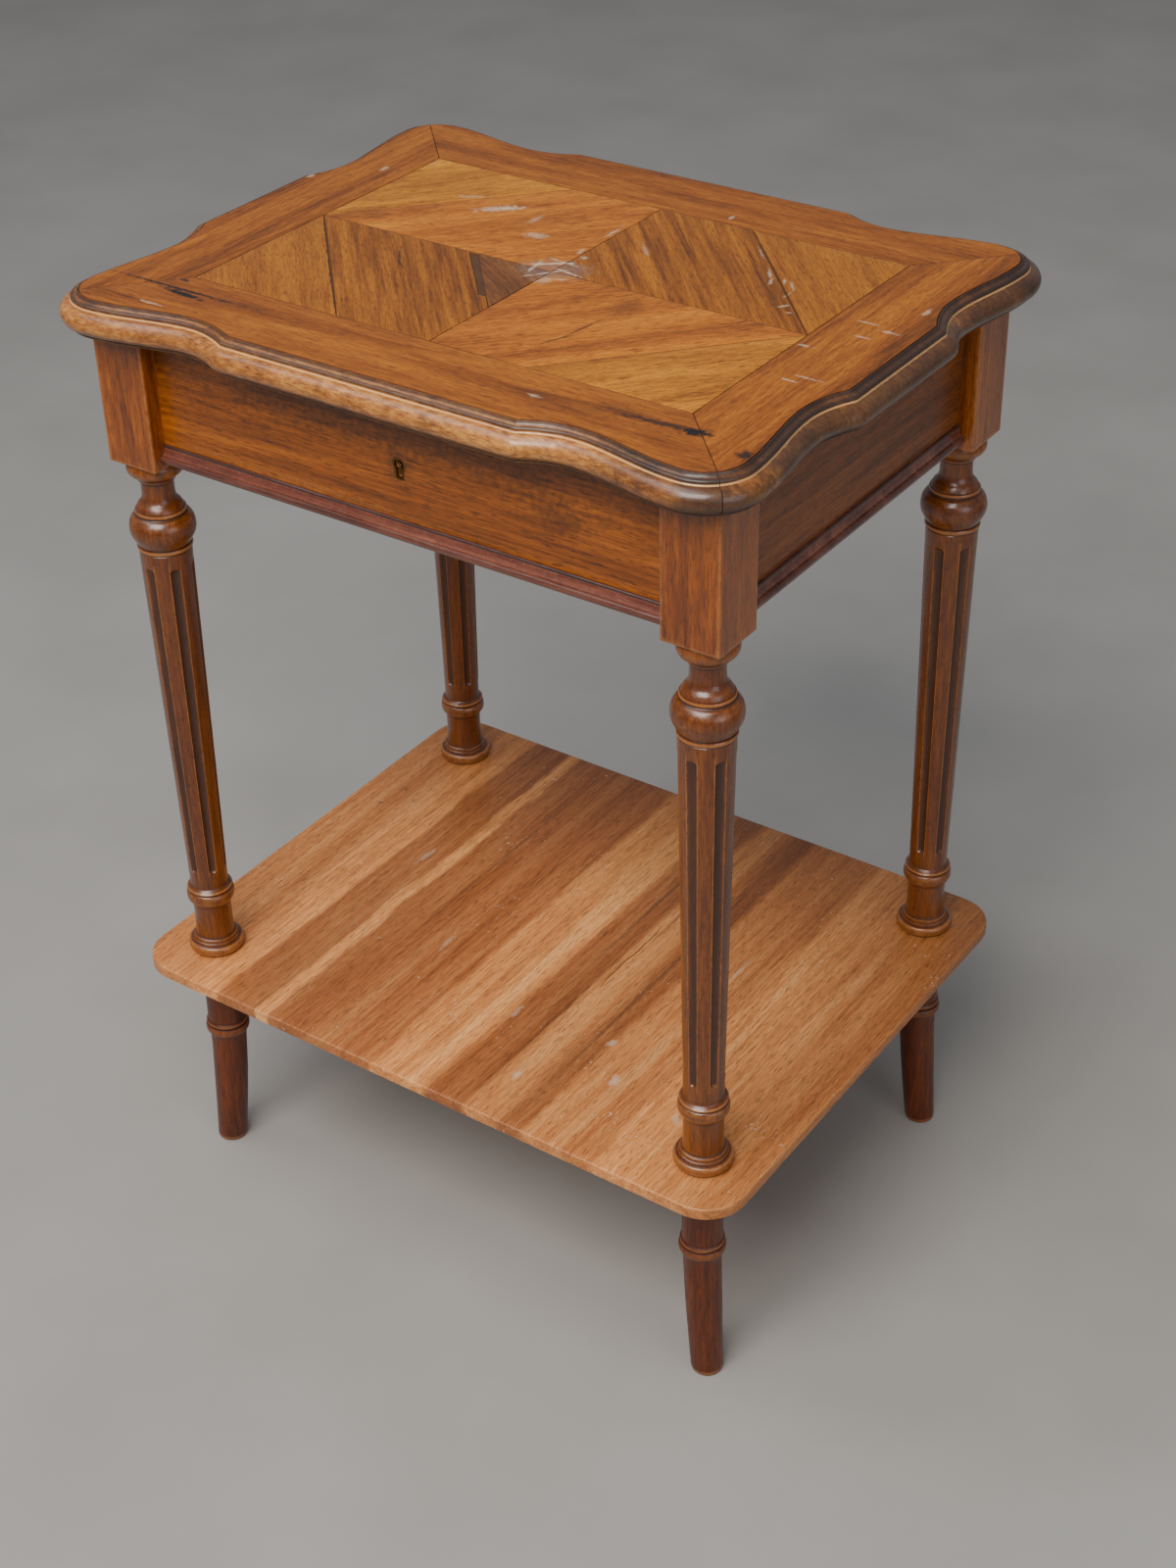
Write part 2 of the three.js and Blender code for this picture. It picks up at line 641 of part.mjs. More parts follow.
// The bead's section: out from the rail, up from its lower edge.
function beadSection() {
  const reach = BEAD_DEPTH;
  const points = [
    [0, 0],
    [reach - 1.6, 0],
    [reach - 0.4, 1],
    [reach, 2.6],
    [reach - 0.4, 4.2],
    [reach - 1.6, 5.2],
    [reach - 3.2, 5.6],
    [reach - 4.4, 7.6],
    [reach - 4.9, 10],
    [reach - 4.2, BEAD_HEIGHT - 1],
    [reach - 4.9, BEAD_HEIGHT],
    [0, BEAD_HEIGHT],
  ];
  return points.map(([out, up]) => new THREE.Vector2(out, up));
}

function beadLength(length) {
  return prism(beadSection(), -length / 2, length / 2).rotate([90, 0, 0]);
}

function addBeads() {
  const front = beadLength(2 * INNER_X - 2 * JOINT_GAP).rotate([0, 0, -90]);
  place("bead_front", front, BEAD_WALNUT, [0, -FRONT_FACE, RAIL_FOOT]);
  const side = beadLength(2 * INNER_Y - 2 * JOINT_GAP);
  place("bead_right", side, BEAD_WALNUT, [SIDE_FACE, 0, RAIL_FOOT]);
  place("bead_left", side.rotate([0, 0, 180]), BEAD_WALNUT, [-SIDE_FACE, 0, RAIL_FOOT]);
}

function addBoxInside() {
  const gap = JOINT_GAP;
  const notches = CORNERS.map(([, signX, signY]) => {
    const xs = [signX * (INNER_X - gap), signX * (LEG_X + BLOCK)].sort((a, b) => a - b);
    const ys = [signY * (INNER_Y - gap), signY * (LEG_Y + BLOCK)].sort((a, b) => a - b);
    return box(xs[0], xs[1], ys[0], ys[1], FLOOR_UNDER - 1, FLOOR_TOP + 1);
  });
  place("box_bottom", cutAll(bottomBoard(0), notches), INSIDE_WOOD);
  for (const [side, signX] of SIDES) {
    place("partition_" + side, longPartition(signX, 0), INSIDE_WOOD);
    place("cross_partition_" + side, crossPartition(signX, 0), INSIDE_WOOD);
  }
}

// ---- Screws ----
// A countersunk screw along -Z with the top of its head at z = 0.
function screwBody(grow) {
  const above = grow > 0 ? 1 : 0;
  const shank = turning(
    [
      [0, -SCREW_LENGTH - grow],
      [SCREW_RADIUS * 0.35 + grow, -SCREW_LENGTH + 0.4],
      [SCREW_RADIUS + grow, -SCREW_LENGTH + 3],
      [SCREW_RADIUS + grow, -SCREW_HEAD],
      [SCREW_HEAD_RADIUS + grow, 0],
      [SCREW_HEAD_RADIUS + grow, above],
      [0, above],
    ],
    12,
  );
  if (grow > 0) return shank;
  const slot = SCREW_SLOT / 2;
  return shank.subtract(box(-SCREW_HEAD_RADIUS - 1, SCREW_HEAD_RADIUS + 1, -slot, slot, -0.7, 1));
}

function lockScrew(x, z, grow) {
  return screwBody(grow)
    .rotate([-90, 0, 0])
    .translate([x, BOX_FRONT, z]);
}

const LOCK_SCREWS = [
  [-LOCK_SCREW_X, LOCK_SCREW_Z],
  [LOCK_SCREW_X, LOCK_SCREW_Z],
];

// ---- Lock ----
function strikeEye(signX, grow) {
  const x = signX * EYE_SPREAD;
  const half = EYE_THICKNESS / 2 + grow;
  const width = EYE_WIDTH / 2 + grow;
  const top = grow > 0 ? BOX_TOP + 1 : LID_UNDER + CASE_WALL / 2;
  return box(x - half, x + half, LOCK_Y - width, LOCK_Y + width, LID_UNDER - EYE_REACH, top);
}

function addLockCase() {
  const side = CASE_WIDTH / 2;
  const wall = CASE_WALL;
  const foot = KEY_Z - CASE_BELOW_KEY;
  const front = BOX_FRONT - CASE_DEPTH;
  const flange = FLANGE_WIDTH / 2;
  const shell = joinAll([
    box(-side, side, front, BOX_FRONT, foot, BOX_TOP),
    box(-flange, flange, front, BOX_FRONT, BOX_TOP - wall, BOX_TOP),
    box(-flange, flange, BOX_FRONT - wall, BOX_FRONT, KEY_Z, BOX_TOP),
  ]);
  const hollow = box(
    -side + wall,
    side - wall,
    front + wall,
    BOX_FRONT - wall,
    foot + wall,
    BOX_TOP - wall,
  );
  const ribTop = BOX_TOP - BOLT_DROP - BOLT_BAR - GUIDE_PLAY;
  const ribs = [-1, 1].map((signX) => {
    const ends = [signX * (side - wall / 2), signX * EYE_SPREAD].sort((a, b) => a - b);
    return box(ends[0], ends[1], front + wall / 2, BOX_FRONT - wall / 2, ribTop - GUIDE_RIB, ribTop);
  });
  const openings = [
    keyhole(0, front - 1, front + wall + 0.5),
    strikeEye(-1, EYE_SLOT_PLAY),
    strikeEye(1, EYE_SLOT_PLAY),
    ...LOCK_SCREWS.map(([x, z]) => lockScrew(x, z, JOINT_GAP)),
  ];
  place("lock_case", cutAll(joinAll([shell.subtract(hollow), ...ribs]), openings), STEEL);
  LOCK_SCREWS.forEach(([x, z], i) => {
    place("lock_screw_" + SIDES[i][0], lockScrew(x, z, 0), STEEL);
  });
}

// A bar with two claws whose fingers slide through the strike's eyes, and a tail for the key.
function addLockBolt() {
  const half = BOLT_THICKNESS / 2;
  const barTop = BOX_TOP - BOLT_DROP;
  const barFoot = barTop - BOLT_BAR;
  const fingerFoot = LID_UNDER - EYE_REACH + EYE_FOOT + (EYE_HOLE - FINGER_HEIGHT) / 2;
  const pieces = [];
  let left = 0;
  let right = 0;
  for (const signX of [-1, 1]) {
    const tip = signX * EYE_SPREAD - EYE_THICKNESS / 2 - EYE_CLEARANCE;
    const stem = tip - FINGER - CLAW;
    const fingerTop = fingerFoot + FINGER_HEIGHT;
    pieces.push(box(stem, stem + CLAW, LOCK_Y - half, LOCK_Y + half, barFoot, fingerTop));
    pieces.push(box(stem, tip, LOCK_Y - half, LOCK_Y + half, fingerFoot, fingerTop));
    left = Math.min(left, stem);
    right = Math.max(right, tip + CLAW);
  }
  pieces.push(box(left, right, LOCK_Y - half, LOCK_Y + half, barFoot, barTop));
  const tail = TAIL_WIDTH / 2;
  const tailFoot = KEY_Z + KEY_RADIUS + 1;
  pieces.push(box(-tail, tail, LOCK_Y - half, LOCK_Y + half, tailFoot, barTop));
  place("lock_bolt", joinAll(pieces), STEEL);
}

function addKeyholeLiner() {
  const front = -FRONT_FACE;
  const outer = keyhole(LINER_WALL, front, front + LINER_DEPTH);
  const hole = keyhole(0, front - 1, front + LINER_DEPTH + 1);
  place("keyhole_liner", outer.subtract(hole), BRASS);
}

function strikeScrew(signX, grow) {
  return screwBody(grow)
    .rotate([180, 0, 0])
    .translate([signX * STRIKE_SCREW_X, LOCK_Y, LID_UNDER]);
}

function strikePlateBox(grow) {
  const half = STRIKE_LENGTH / 2 + grow;
  const width = CASE_DEPTH / 2 + grow;
  const foot = grow > 0 ? LID_UNDER - 1 : LID_UNDER;
  return box(-half, half, LOCK_Y - width, LOCK_Y + width, foot, LID_UNDER + CASE_WALL + grow);
}

function eyeHole(signX) {
  const x = signX * EYE_SPREAD;
  const half = BOLT_THICKNESS / 2 + BOLT_PLAY;
  const foot = LID_UNDER - EYE_REACH + EYE_FOOT;
  return box(x - 4, x + 4, LOCK_Y - half, LOCK_Y + half, foot, foot + EYE_HOLE);
}

function addStrike() {
  const plate = joinAll([strikePlateBox(0), strikeEye(-1, 0), strikeEye(1, 0)]);
  const cuts = [eyeHole(-1), eyeHole(1), strikeScrew(-1, JOINT_GAP), strikeScrew(1, JOINT_GAP)];
  place("strike_plate", cutAll(plate, cuts), STEEL);
  for (const [side, signX] of SIDES) {
    place("strike_screw_" + side, strikeScrew(signX, 0), STEEL);
  }
}

// ---- Hinges ----
// A leaf's screws: level -1 goes down into the rail, level 1 goes up into the lid.
function leafScrews(signX, level, grow) {
  const turned = screwBody(grow).rotate([level < 0 ? 0 : 180, 0, 0]);
  const z = level < 0 ? BOX_TOP : LID_UNDER;
  return [-1, 1].map((end) =>
    turned.translate([signX * HINGE_X + end * HINGE_SCREW_SPREAD, LEAF_SCREW_Y, z]),
  );
}

// The pocket that takes a leaf: in the rail's upper edge, or in the lid's underside.
function leafRecess(signX, level) {
  const gap = JOINT_GAP;
  const x = signX * HINGE_X;
  const half = HINGE_LENGTH / 2 + gap;
  const near = HINGE_Y - LEAF_WIDTH - gap;
  if (level < 0) {
    const foot = BOX_TOP - LEAF_THICKNESS - gap;
    return box(x - half, x + half, near, REAR_FACE + 1, foot, BOX_TOP + 1);
  }
  const top = LID_UNDER + LEAF_THICKNESS + gap;
  return box(x - half, x + half, near, HINGE_Y, LID_UNDER - 1, top);
}

// Room in the lid's underside for the knuckles.
function knuckleRecess(signX) {
  const x = signX * HINGE_X;
  const half = HINGE_LENGTH / 2 + 0.8;
  const reach = KNUCKLE_RADIUS + KNUCKLE_ROOM;
  const far = HINGE_Y + reach;
  return box(x - half, x + half, HINGE_Y - reach, far, LID_UNDER - 1, HINGE_Z + reach);
}

function rodAlongX(radius, x0, x1) {
  const rod = turningGeometry(
    [
      [0, 0],
      [radius, 0],
      [radius, x1 - x0],
      [0, x1 - x0],
    ],
    20,
  );
  rod.rotateY(Math.PI / 2);
  rod.translate(x0, 0, 0);
  return solid(rod);
}

// One leaf about its own pin: a plate cut back between its knuckles, which are bored for the pin.
function leafBody(level) {
  const half = HINGE_LENGTH / 2;
  const middle = MIDDLE_KNUCKLE / 2;
  const clear = KNUCKLE_RADIUS + LEAF_CUTBACK;
  const face = (level * LID_CLEARANCE) / 2;
  const z = [face, face + level * LEAF_THICKNESS].sort((a, b) => a - b);
  const spans =
    level < 0
      ? [
          [-half, -middle - JOINT_GAP],
          [middle + JOINT_GAP, half],
        ]
      : [[-middle, middle]];
  const pieces = [box(-half, half, -LEAF_WIDTH, -clear, z[0], z[1])];
  for (const [x0, x1] of spans) {
    pieces.push(box(x0, x1, -clear - 0.5, 0, z[0], z[1]));
    pieces.push(rodAlongX(KNUCKLE_RADIUS, x0, x1));
  }
  return joinAll(pieces).subtract(rodAlongX(HINGE_PIN_RADIUS + HINGE_PLAY, -half - 1, half + 1));
}

function addHinges() {
  const levels = [
    ["rail", -1],
    ["lid", 1],
  ];
  const pin = rodAlongX(HINGE_PIN_RADIUS, -HINGE_LENGTH / 2 - 0.5, HINGE_LENGTH / 2 + 0.5);
  for (const [side, signX] of SIDES) {
    const centre = [signX * HINGE_X, HINGE_Y, HINGE_Z];
    place("hinge_" + side + "_pin", pin, BRASS, centre);
    for (const [holder, level] of levels) {
      const name = "hinge_" + side + "_" + holder;
      const holes = leafScrews(signX, level, JOINT_GAP);
      const leaf = cutAll(leafBody(level).translate(centre), holes);
      place(name + "_leaf", leaf, BRASS);
      leafScrews(signX, level, 0).forEach((screw, i) => {
        place(name + "_screw_" + (i + 1), screw, BRASS);
      });
    }
  }
}

// ---- Lid outline ----
function easeInOut(t) {
  return t * t * (3 - 2 * t);
}

// Leaves at once and arrives gently, which makes a crisp corner at the start.
function easeOut(t) {
  return 1 - (1 - t) ** 2;
}

// How far a side stands out from the centre line at a distance along it.
function waveOut(wave, along) {
  const a = Math.abs(along);
  if (a <= wave.start) return wave.half;
  const hollow = wave.start + wave.run;
  if (a <= hollow) return wave.half - wave.depth * easeOut((a - wave.start) / wave.run);
  const t = (a - hollow) / (wave.lobeAt - hollow);
  return wave.half - wave.depth + (wave.depth + wave.lobe) * easeInOut(Math.min(1, t));
}

const LONG_LOBE_OUT = LID_DEPTH / 2 + LONG_LOBE;
const SHORT_LOBE_OUT = LID_LENGTH / 2 + SHORT_LOBE;
const LONG_WAVE = {
  half: LID_DEPTH / 2,
  start: LONG_WAVE_START,
  run: LONG_WAVE_RUN,
  depth: LONG_WAVE_DEPTH,
  lobe: LONG_LOBE,
  lobeAt: SHORT_LOBE_OUT - CORNER_RADIUS,
};
const SHORT_WAVE = {
  half: LID_LENGTH / 2,
  start: SHORT_WAVE_START,
  run: SHORT_WAVE_RUN,
  depth: SHORT_WAVE_DEPTH,
  lobe: SHORT_LOBE,
  lobeAt: LONG_LOBE_OUT - CORNER_RADIUS,
};

// Points and outward directions along the right half of a side, from its middle to its corner.
function halfSide(wave, cornerTrim) {
  const hollow = wave.start + wave.run;
  const distances = [wave.start];
  for (let i = 1; i <= 5; i++) distances.push(wave.start + (wave.run * i) / 5);
  for (let i = 1; i <= 4; i++) distances.push(hollow + ((wave.lobeAt - hollow) * i) / 4);
  const stations = distances.map((a) => {
    const slope = (waveOut(wave, a + 0.01) - waveOut(wave, a - 0.01)) / 0.02;
    const length = Math.hypot(1, slope);
    return { along: a, out: waveOut(wave, a), nAlong: -slope / length, nOut: 1 / length };
  });
  const centre = wave.half + wave.lobe - CORNER_RADIUS;
  const last = Math.PI / 4 - Math.atan(cornerTrim / CORNER_RADIUS);
  for (let i = 1; i <= 3; i++) {
    const turn = (last * i) / 3;
    stations.push({
      along: wave.lobeAt + CORNER_RADIUS * Math.sin(turn),
      out: centre + CORNER_RADIUS * Math.cos(turn),
      nAlong: Math.sin(turn),
      nOut: Math.cos(turn),
    });
  }
  return stations;
}

function wholeSide(wave, cornerTrim) {
  const right = halfSide(wave, cornerTrim);
  const left = right.map((s) => ({ ...s, along: -s.along, nAlong: -s.nAlong })).reverse();
  return [...left, ...right];
}

// The four sides in turn: name, wave, and how the side's own directions turn into x and y.
const LID_SIDES = [
  ["rear", LONG_WAVE, (along, out) => [along, out]],
  ["right", SHORT_WAVE, (along, out) => [out, -along]],
  ["front", LONG_WAVE, (along, out) => [-along, -out]],
  ["left", SHORT_WAVE, (along, out) => [-out, along]],
];

function lidOutline() {
  const points = [];
  for (const [, wave, turn] of LID_SIDES) {
    const side = wholeSide(wave, 0).map((s) => new THREE.Vector2(...turn(s.along, s.out)));
    points.push(...side.slice(1));
  }
  return points.reverse();
}

// ---- Lid moulding ----
// Its section: out from the veneer's edge, down from the top.
function mouldingSection() {
  const section = [
    [JOINT_GAP, LID_THICKNESS],
    [JOINT_GAP, 0.5],
    [1.2, 0.5],
    [2.2, 2.7],
    [3.9, 3.3],
    [4.9, 2.9],
    [5.9, 3.9],
    [5.3, 5.6],
  ];
  for (let i = 0; i <= 6; i++) {
    const turn = (Math.PI * i) / 6;
    const out = TORUS_CENTRE + TORUS_RADIUS * Math.sin(turn);
    section.push([out, TORUS_DROP - TORUS_RADIUS * Math.cos(turn)]);
  }
  section.push([TORUS_CENTRE + 1.6, TORUS_DROP + TORUS_RADIUS + 0.1]);
  section.push([TORUS_CENTRE + 1.6, LID_THICKNESS]);
  return section;
}

function sweptMoulding(wave, turn) {
  const stations = wholeSide(wave, SEAM);
  const section = mouldingSection();
  const count = section.length;
  const positions = [];
  for (const s of stations) {
    for (const [out, down] of section) {
      const [x, y] = turn(s.along + out * s.nAlong, s.out + out * s.nOut);
      positions.push(x, y, TABLE_HEIGHT - down);
    }
  }
  const index = [];
  for (let i = 0; i + 1 < stations.length; i++) {
    for (let j = 0; j < count; j++) {
      const a = i * count + j;
      const b = i * count + ((j + 1) % count);
      index.push(a, a + count, b, b, a + count, b + count);
    }
  }
  const contour = section.map(([out, down]) => new THREE.Vector2(out, -down));
  const far = (stations.length - 1) * count;
  for (const [a, b, c] of THREE.ShapeUtils.triangulateShape(contour, [])) {
    index.push(a, c, b, far + a, far + b, far + c);
  }
  const geometry = new THREE.BufferGeometry();
  geometry.setAttribute("position", new THREE.Float32BufferAttribute(positions, 3));
  geometry.setIndex(index);
  return solid(geometry);
}

function addMouldings() {
  for (const [side, wave, turn] of LID_SIDES) {
    place("lid_moulding_" + side, sweptMoulding(wave, turn), LID_MOULDING);
  }
}

// ---- Lid core and veneers ----
function addLidCore() {
  const cuts = [strikePlateBox(JOINT_GAP), strikeScrew(-1, JOINT_GAP), strikeScrew(1, JOINT_GAP)];
  for (const [, signX] of SIDES) {
    cuts.push(leafRecess(signX, 1), knuckleRecess(signX));
    cuts.push(...leafScrews(signX, 1, JOINT_GAP));
  }
  const core = prism(lidOutline(), LID_UNDER, CORE_TOP);
  place("lid_core", cutAll(core, cuts), INSIDE_WOOD);
}

// A convex outline drawn in by a distance on every edge.
function drawnIn(points, distance) {
  const count = points.length;
  const edges = points.map((point, i) => {
    const next = points[(i + 1) % count];
    const along = next.clone().sub(point).normalize();
    const inward = new THREE.Vector2(-along.y, along.x);
    return { start: point.clone().addScaledVector(inward, distance), along };
  });
  return edges.map((edge, i) => {
    const before = edges[(i + count - 1) % count];
    const gap = edge.start.clone().sub(before.start);
    const step = gap.cross(edge.along) / before.along.cross(edge.along);
    return before.start.clone().addScaledVector(before.along, step);
  });
}

function addBorderVeneers() {
  const face = prism(lidOutline(), CORE_TOP, TABLE_HEIGHT);
  const diagonal = CORNER_RADIUS * (1 - Math.SQRT1_2);
  const corner = [SHORT_LOBE_OUT - diagonal, LONG_LOBE_OUT - diagonal];
  const slope = [corner[0] - FIELD_X, corner[1] - FIELD_Y];
  const outer = [FIELD_X + 2 * slope[0], FIELD_Y + 2 * slope[1]];
  const long = [
    [-FIELD_X, FIELD_Y],
    [FIELD_X, FIELD_Y],
    [outer[0], outer[1]],
    [-outer[0], outer[1]],
  ];
  const short = [
    [FIELD_X, FIELD_Y],
    [FIELD_X, -FIELD_Y],
    [outer[0], -outer[1]],
    [outer[0], outer[1]],
  ];
  const cells = [
    ["rear", long, 1],
    ["front", long, -1],
    ["right", short, 1],
    ["left", short, -1],
  ];
  for (const [side, corners, sign] of cells) {
    const points = corners.map(([x, y]) => new THREE.Vector2(sign * x, sign * y));
    const cell = prism(drawnIn(points, SEAM), CORE_TOP - 1, TABLE_HEIGHT + 1);
    place("border_veneer_" + side, face.intersect(cell), LID_VENEER);
  }
}

function veneerLeaf(points, signX, signY) {
  const turned = points.map(([x, y]) => new THREE.Vector2(signX * x, signY * y));
  if (signX * signY < 0) turned.reverse();
  return prism(drawnIn(turned, SEAM), CORE_TOP, TABLE_HEIGHT);
}

function addFieldVeneers() {
  const quarter = [
    [0, 0],
    [FIELD_X, 0],
    [FIELD_CUT_X, FIELD_Y],
    [0, FIELD_Y],
  ];
  const corner = [
    [FIELD_X, 0],
    [FIELD_X, FIELD_Y],
    [FIELD_CUT_X, FIELD_Y],
  ];
  for (const [name, signX, signY] of CORNERS) {
    const tone = signX * signY > 0 ? LID_VENEER_DARK : LID_VENEER;
    place("quarter_veneer_" + name, veneerLeaf(quarter, signX, signY), tone);
    place("corner_veneer_" + name, veneerLeaf(corner, signX, signY), LID_VENEER);
  }
}

addLegs();
addFeet();
addShelf();
addFrontRail();
addRearRail();
addSideRails();
addBeads();
addBoxInside();
addLockCase();
addLockBolt();
addKeyholeLiner();
addStrike();
addHinges();
addLidCore();
addMouldings();
addBorderVeneers();
addFieldVeneers();

export default table;
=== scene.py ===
# %% [markdown]
# # A small French work table in walnut
# The table is a shallow box with a hinged lid, four turned and fluted legs, a thin shelf near the
# floor and four kicked feet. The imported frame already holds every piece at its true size. This
# lesson loads that frame, remakes the turned and moulded pieces with fine curves, lays the veneers
# of the top leaf by leaf, and gives each wood and metal its finish.

import json
import math

import bmesh
import bpy
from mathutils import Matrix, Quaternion, Vector, geometry, noise


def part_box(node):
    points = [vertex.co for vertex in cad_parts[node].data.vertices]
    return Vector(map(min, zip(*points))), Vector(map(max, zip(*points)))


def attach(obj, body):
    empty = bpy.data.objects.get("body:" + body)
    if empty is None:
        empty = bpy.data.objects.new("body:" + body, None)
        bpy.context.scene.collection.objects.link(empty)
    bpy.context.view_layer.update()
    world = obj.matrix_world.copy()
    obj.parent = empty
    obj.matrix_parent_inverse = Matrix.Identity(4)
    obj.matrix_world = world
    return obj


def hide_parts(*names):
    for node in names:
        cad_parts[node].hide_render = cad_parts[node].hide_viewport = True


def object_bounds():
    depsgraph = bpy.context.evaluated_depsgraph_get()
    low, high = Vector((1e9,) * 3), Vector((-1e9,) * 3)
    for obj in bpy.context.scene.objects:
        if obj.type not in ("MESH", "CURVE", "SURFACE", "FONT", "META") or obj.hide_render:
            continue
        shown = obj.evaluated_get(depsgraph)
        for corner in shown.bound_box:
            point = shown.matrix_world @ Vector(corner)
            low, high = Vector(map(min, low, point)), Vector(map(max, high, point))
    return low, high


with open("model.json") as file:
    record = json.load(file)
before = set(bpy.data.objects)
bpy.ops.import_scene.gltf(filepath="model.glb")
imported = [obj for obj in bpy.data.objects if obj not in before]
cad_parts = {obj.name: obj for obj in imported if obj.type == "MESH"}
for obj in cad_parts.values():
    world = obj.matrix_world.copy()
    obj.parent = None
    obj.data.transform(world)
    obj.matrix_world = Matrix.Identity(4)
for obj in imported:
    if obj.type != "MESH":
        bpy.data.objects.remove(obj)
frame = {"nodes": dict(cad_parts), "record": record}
nodes = frame["nodes"]
cad_low, cad_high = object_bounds()
print("frame pieces:", len(nodes), "size:", [round(v, 4) for v in cad_high - cad_low])

# %% [markdown]
# ## The viewpoint
# A small object looks natural from a standing person's height, a little to one side. The camera
# stands in front and to the right, looks down by about a third of a right angle, and has a slightly
# long lens, so that the legs keep nearly parallel. A tiny roll is what a hand-held camera gives.

# %% Camera
CAMERA_PLACE = (0.8413, -1.1636, 1.2856)
CAMERA_AROUND = math.radians(35.26)
CAMERA_DOWN = math.radians(33.94)
CAMERA_ROLL = math.radians(-1.32)
LENS_MM = 56.0
SENSOR_MM = 36.0


def set_camera():
    across, down = CAMERA_AROUND, CAMERA_DOWN
    back = Vector((
        math.sin(across) * math.cos(down),
        -math.cos(across) * math.cos(down),
        math.sin(down),
    ))
    lens = bpy.data.cameras.new("viewpoint")
    lens.lens = LENS_MM
    lens.sensor_width = SENSOR_MM
    camera = bpy.data.objects.new("viewpoint", lens)
    camera.location = CAMERA_PLACE
    camera.rotation_mode = "QUATERNION"
    roll = Quaternion((0, 0, 1), CAMERA_ROLL)
    camera.rotation_quaternion = back.to_track_quat("Z", "Y") @ roll
    bpy.context.scene.collection.objects.link(camera)
    bpy.context.scene.camera = camera


set_camera()
print("camera stands at", CAMERA_PLACE)

# %% [markdown]
# ## Light and floor
# Polished wood shows its shape by what it mirrors, so the light comes from wide soft panels and a
# pale surrounding, never from a small lamp. The large panel hangs high at the front, so that the
# lid's overhang shades the upper half of the rail and the light still falls in on the shelf. A
# plain pale floor sends some light back up under the lid.

# %% Colours
def linear(code):
    """The linear red, green, blue and alpha of an sRGB hex colour."""
    channels = [int(code[i : i + 2], 16) / 255 for i in (1, 3, 5)]
    turned = [c / 12.92 if c <= 0.04045 else ((c + 0.055) / 1.055) ** 2.4 for c in channels]
    return (*turned, 1.0)


print("a middle grey is", round(linear("#808080")[0], 3), "in linear light")


# %% One helper for every shader node
def add(tree, kind, inputs=None, take=None, stops=None, **settings):
    """Adds a node, sets it, links or fills its inputs, and gives back one output socket.

    A Mix node has its two plain numbers in sockets 2 and 3, and its two colours in 6 and 7.
    """
    node = tree.nodes.new(kind)
    for setting, value in settings.items():
        setattr(node, setting, value)
    for socket, value in (inputs or {}).items():
        if isinstance(value, bpy.types.NodeSocket):
            tree.links.new(value, node.inputs[socket])
        else:
            node.inputs[socket].default_value = value
    if stops:
        elements = node.color_ramp.elements
        while len(elements) < len(stops):
            elements.new(0.5)
        for element, (place, colour) in zip(elements, stops):
            element.position = place
            element.color = linear(colour)
    if take is not None:
        return node.outputs[take]
    return next((socket for socket in node.outputs if socket.enabled), None)


def blank_material(name):
    material = bpy.data.materials.new(name)
    material.use_nodes = True
    material.node_tree.nodes.clear()
    return material, material.node_tree


print("nodes are added by one helper")


# %% Surroundings and panels
def soft_surroundings(colour, strength):
    world = bpy.data.worlds.new("pale surroundings")
    bpy.context.scene.world = world
    world.use_nodes = True
    world.node_tree.nodes.clear()
    glow = add(world.node_tree, "ShaderNodeBackground", {"Color": linear(colour), "Strength": strength})
    add(world.node_tree, "ShaderNodeOutputWorld", {"Surface": glow})


def light_panel(name, place, aim, size, power, colour):
    panel = bpy.data.lights.new(name, "AREA")
    panel.shape = "RECTANGLE"
    panel.size, panel.size_y = size
    panel.energy = power
    panel.color = linear(colour)[:3]
    holder = bpy.data.objects.new(name, panel)
    holder.location = place
    holder.rotation_mode = "QUATERNION"
    holder.rotation_quaternion = (Vector(place) - Vector(aim)).to_track_quat("Z", "Y")
    bpy.context.scene.collection.objects.link(holder)


TABLE_MIDDLE = (cad_low + cad_high) / 2
soft_surroundings("#e9edf2", 0.3)
light_panel("front panel", (0.35, -1.95, 2.65), TABLE_MIDDLE, (1.9, 1.3), 92, "#fff8f0")
light_panel("top panel", (-0.9, -0.8, 3.0), TABLE_MIDDLE, (2.0, 1.8), 34, "#f6f8ff")
light_panel("right fill", (2.7, -0.9, 1.2), TABLE_MIDDLE, (1.6, 1.6), 15, "#f3f6ff")
print("panels aim at", [round(v, 3) for v in TABLE_MIDDLE])

# %% Floor
FLOOR_REACH = 9.0


def lay_floor():
    """A wide flat floor of fine pale plaster."""
    edge = FLOOR_REACH
    mesh = bpy.data.meshes.new("floor")
    corners = [(-edge, -edge, 0), (edge, -edge, 0), (edge, edge, 0), (-edge, edge, 0)]
    mesh.from_pydata(corners, [], [(0, 1, 2, 3)])
    floor = bpy.data.objects.new("floor", mesh)
    bpy.context.scene.collection.objects.link(floor)
    material, tree = blank_material("trowelled pale plaster")
    spots = add(tree, "ShaderNodeTexCoord", take="Object")
    cloud = add(tree, "ShaderNodeTexNoise", {"Vector": spots, "Scale": 5.0, "Detail": 6.0})
    tint = add(tree, "ShaderNodeValToRGB", {"Fac": cloud}, stops=[(0.3, "#9b9995"), (0.7, "#a4a29e")])
    shader = add(tree, "ShaderNodeBsdfPrincipled", {"Base Color": tint, "Roughness": 0.85})
    add(tree, "ShaderNodeOutputMaterial", {"Surface": shader})
    mesh.materials.append(material)


lay_floor()
print("the floor reaches", FLOOR_REACH, "metres each way")

